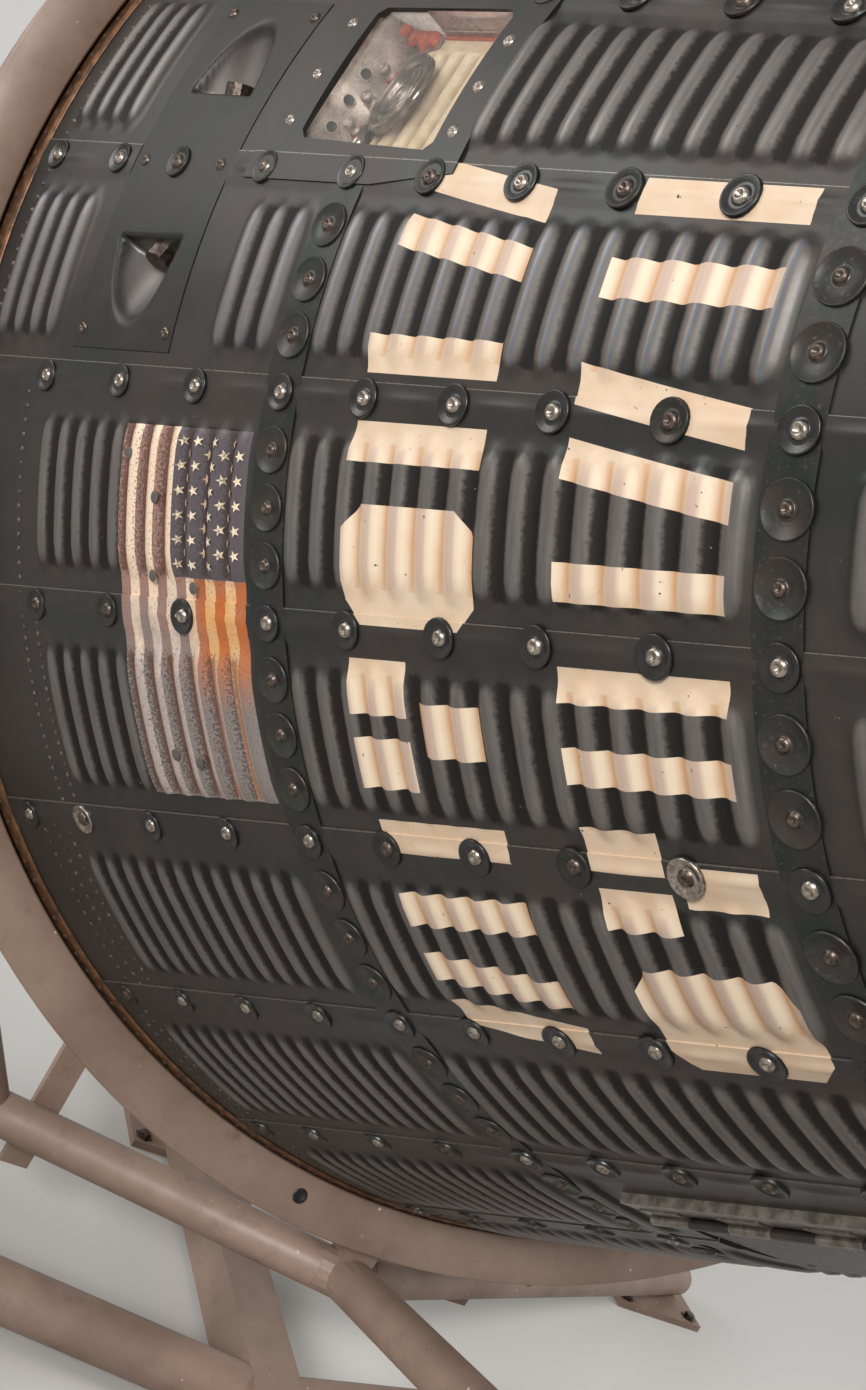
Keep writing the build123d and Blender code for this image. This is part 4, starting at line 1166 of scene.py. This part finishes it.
# Each bolt hole: a rim round a dark disc, painted shade for the hole
rim_with_bolt_hole_shade = fastener(tenths((0, 2), (55, 2), (62, 12), (92, 12), (100, 0)), 20, 0.0058)
finish_piece("ring_bolt_holes", scatter(rim_with_bolt_hole_shade, holes), [DULL_WASHER, BLACK_TUBE_AND_HOLE_SHADE])
lip = lathe([
    (0.9466, -0.016), (0.9520, -0.0155), (0.9526, -0.0110), (0.9500, -0.0040),
    (cone_r(0.004) + 0.0042, 0.003), (cone_r(0.008) + 0.0030, 0.008), (cone_r(0.009) + 0.0008, 0.009),
], 240)
finish_piece("bronze_edge_lip", lip, [BRONZE])
# Rivets in the gap take its dark painted shade
first = Matrix.Translation((0.9505, 0, -0.0055)) @ Matrix.Rotation(0.9, 4, "Y")
places = [Matrix.Rotation(2 * math.pi * k / LIP_RIVETS, 4, "Z") @ first for k in range(LIP_RIVETS)]
finish_piece("edge_lip_rivets", scatter(DOME, places), [GAP_SHADE])

# Cradle: bolts on the foot plates
hex_bolt = lathe(tenths((0, 90), (85, 90), (98, 76), (98, 20), (150, 20), (150, 0)), 6)
corners = [(x, y) for x in (-0.075, 0.075) for y in (-0.075, 0.075)]
places = [Matrix.Translation((mid_x + x, mid_y + y, 0.012)) for mid_x, mid_y in FEET for x, y in corners]
bolts = scatter(hex_bolt, places)
finish_piece("foot_bolts", bolts, [DARK_BOLT], capsule=False, smooth_faces=False)

# Heat shield as one smooth blunt cap
SPHERE_R, SHIELD_EDGE = 2.032, 0.026
middle = math.sqrt(SPHERE_R ** 2 - BASE_R ** 2) - SHIELD_EDGE
cap = [(0.0, -0.0022), (BASE_R - 0.004, -0.0022), (BASE_R - 0.0012, -0.0035)]
for k in range(25):
    r = (BASE_R - 0.0012) * (24 - k) / 24
    cap.append((r, middle - math.sqrt(SPHERE_R ** 2 - r * r)))
finish_piece("smooth_heat_shield", lathe(cap, 192), [CHARRED], ["heat_shield"])

# Plain nodes take their finish as they are
FINISHES = {
    "pressure_wall": INNER_METAL, "roll_nozzles": DARK_BOLT, "window_pane": WINDOW_GLASS,
    "port_cover": CLEAR_PLASTIC, "periscope_door": NOSE_METAL, "periscope_hinge_strip": HINGE,
    "periscope_well": INNER_METAL, "periscope": BLACK_TUBE_AND_HOLE_SHADE, "destabiliser_flap": NOSE_METAL,
    "flap_ears": HINGE, "couch": COUCH, "instrument_panel": INSTRUMENT, "saddle_pad": RUBBER,
}
for name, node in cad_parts.items():
    if not node.hide_render:
        node.data.materials.clear()
        node.data.materials.append(FINISHES.get(name, ENAMEL))

# Camera at the photograph's viewing angle; its focal length and shift are in the picture's pixels
PHOTO_HIGH = 1390
VIEW_AT = BASE + Vector((1.986, -1.1237, 0.0665))
RIGHT = Vector((0.27162, 0.82153, 0.50131))
DOWN = Vector((0.33638, 0.407, -0.84924))
AHEAD = Vector((-0.90171, 0.3993, -0.1658))
camera = shown("photo_camera", bpy.data.cameras.new("photo_camera"))
camera.matrix_world = Matrix.Translation(VIEW_AT) @ Matrix((RIGHT, -DOWN, -AHEAD)).transposed().to_4x4()
camera.data.sensor_fit = "AUTO"
camera.data.sensor_width = 36.0
camera.data.lens = 1723.18 / PHOTO_HIGH * 36
camera.data.shift_y = -45 / PHOTO_HIGH
camera.data.clip_start = 0.02
scene = bpy.context.scene
scene.camera = camera


# Pale floor and soft studio light

def seen_ray(tree):
    """1 where the eye looks at the floor or the backdrop, straight or by way of metal or glass."""
    eye, gloss, clear = [
        add(tree, "LightPath", output=f"Is {ray} Ray") for ray in ("Camera", "Glossy", "Transmission")
    ]
    either = add(tree, "Math", (eye, gloss), operation="MAXIMUM")
    return add(tree, "Math", (either, clear), operation="MAXIMUM")


floor_mesh = bmesh.new()
bmesh.ops.create_grid(floor_mesh, x_segments=1, y_segments=1, size=14)
floor_data = bpy.data.meshes.new("studio_floor")
floor_mesh.to_mesh(floor_data)
floor = shown("studio_floor", floor_data)
floor_paint, tree = start("pale_floor")
pale = add(tree, "Mix", {0: seen_ray(tree), 6: "8a8783", 7: "d8d6d2"}, **OVER)
floor_data.materials.append(finished(floor_paint, tree, {"Base Color": pale, "Roughness": 0.7}))

world = bpy.data.worlds.new("studio")
scene.world = world
world.use_nodes = True
sky = world.node_tree
sky.nodes.clear()
around = add(sky, "Background", {"Color": "dddcd9", "Strength": 0.42})
backdrop = add(sky, "Background", {"Color": "dddcd9", "Strength": 0.85})
add(sky, "OutputWorld", {"Surface": add(sky, "MixShader", (seen_ray(sky), around, backdrop))})


def lamp(name, at, to, size, watts):
    """A soft square lamp aimed at a point."""
    data = bpy.data.lights.new(name, "AREA")
    data.shape = "RECTANGLE"
    data.size, data.size_y = size
    data.energy = watts
    light = shown(name, data)
    light.location = at
    light.rotation_euler = (Vector(to) - Vector(at)).to_track_quat("-Z", "Y").to_euler()


lamp("key", (3.7, -4.7, 3.5), (-0.4, -0.3, 1.2), (2.3, 1.6), 350)
lamp("fill", (-2.6, -5.5, 2.6), (-0.6, 0, 1.3), (2.6, 2.6), 110)
lamp("rim", (0.8, 5.2, 4.6), (-0.4, 0, 1.3), (3.0, 2.4), 230)

scene.view_settings.view_transform = "Standard"
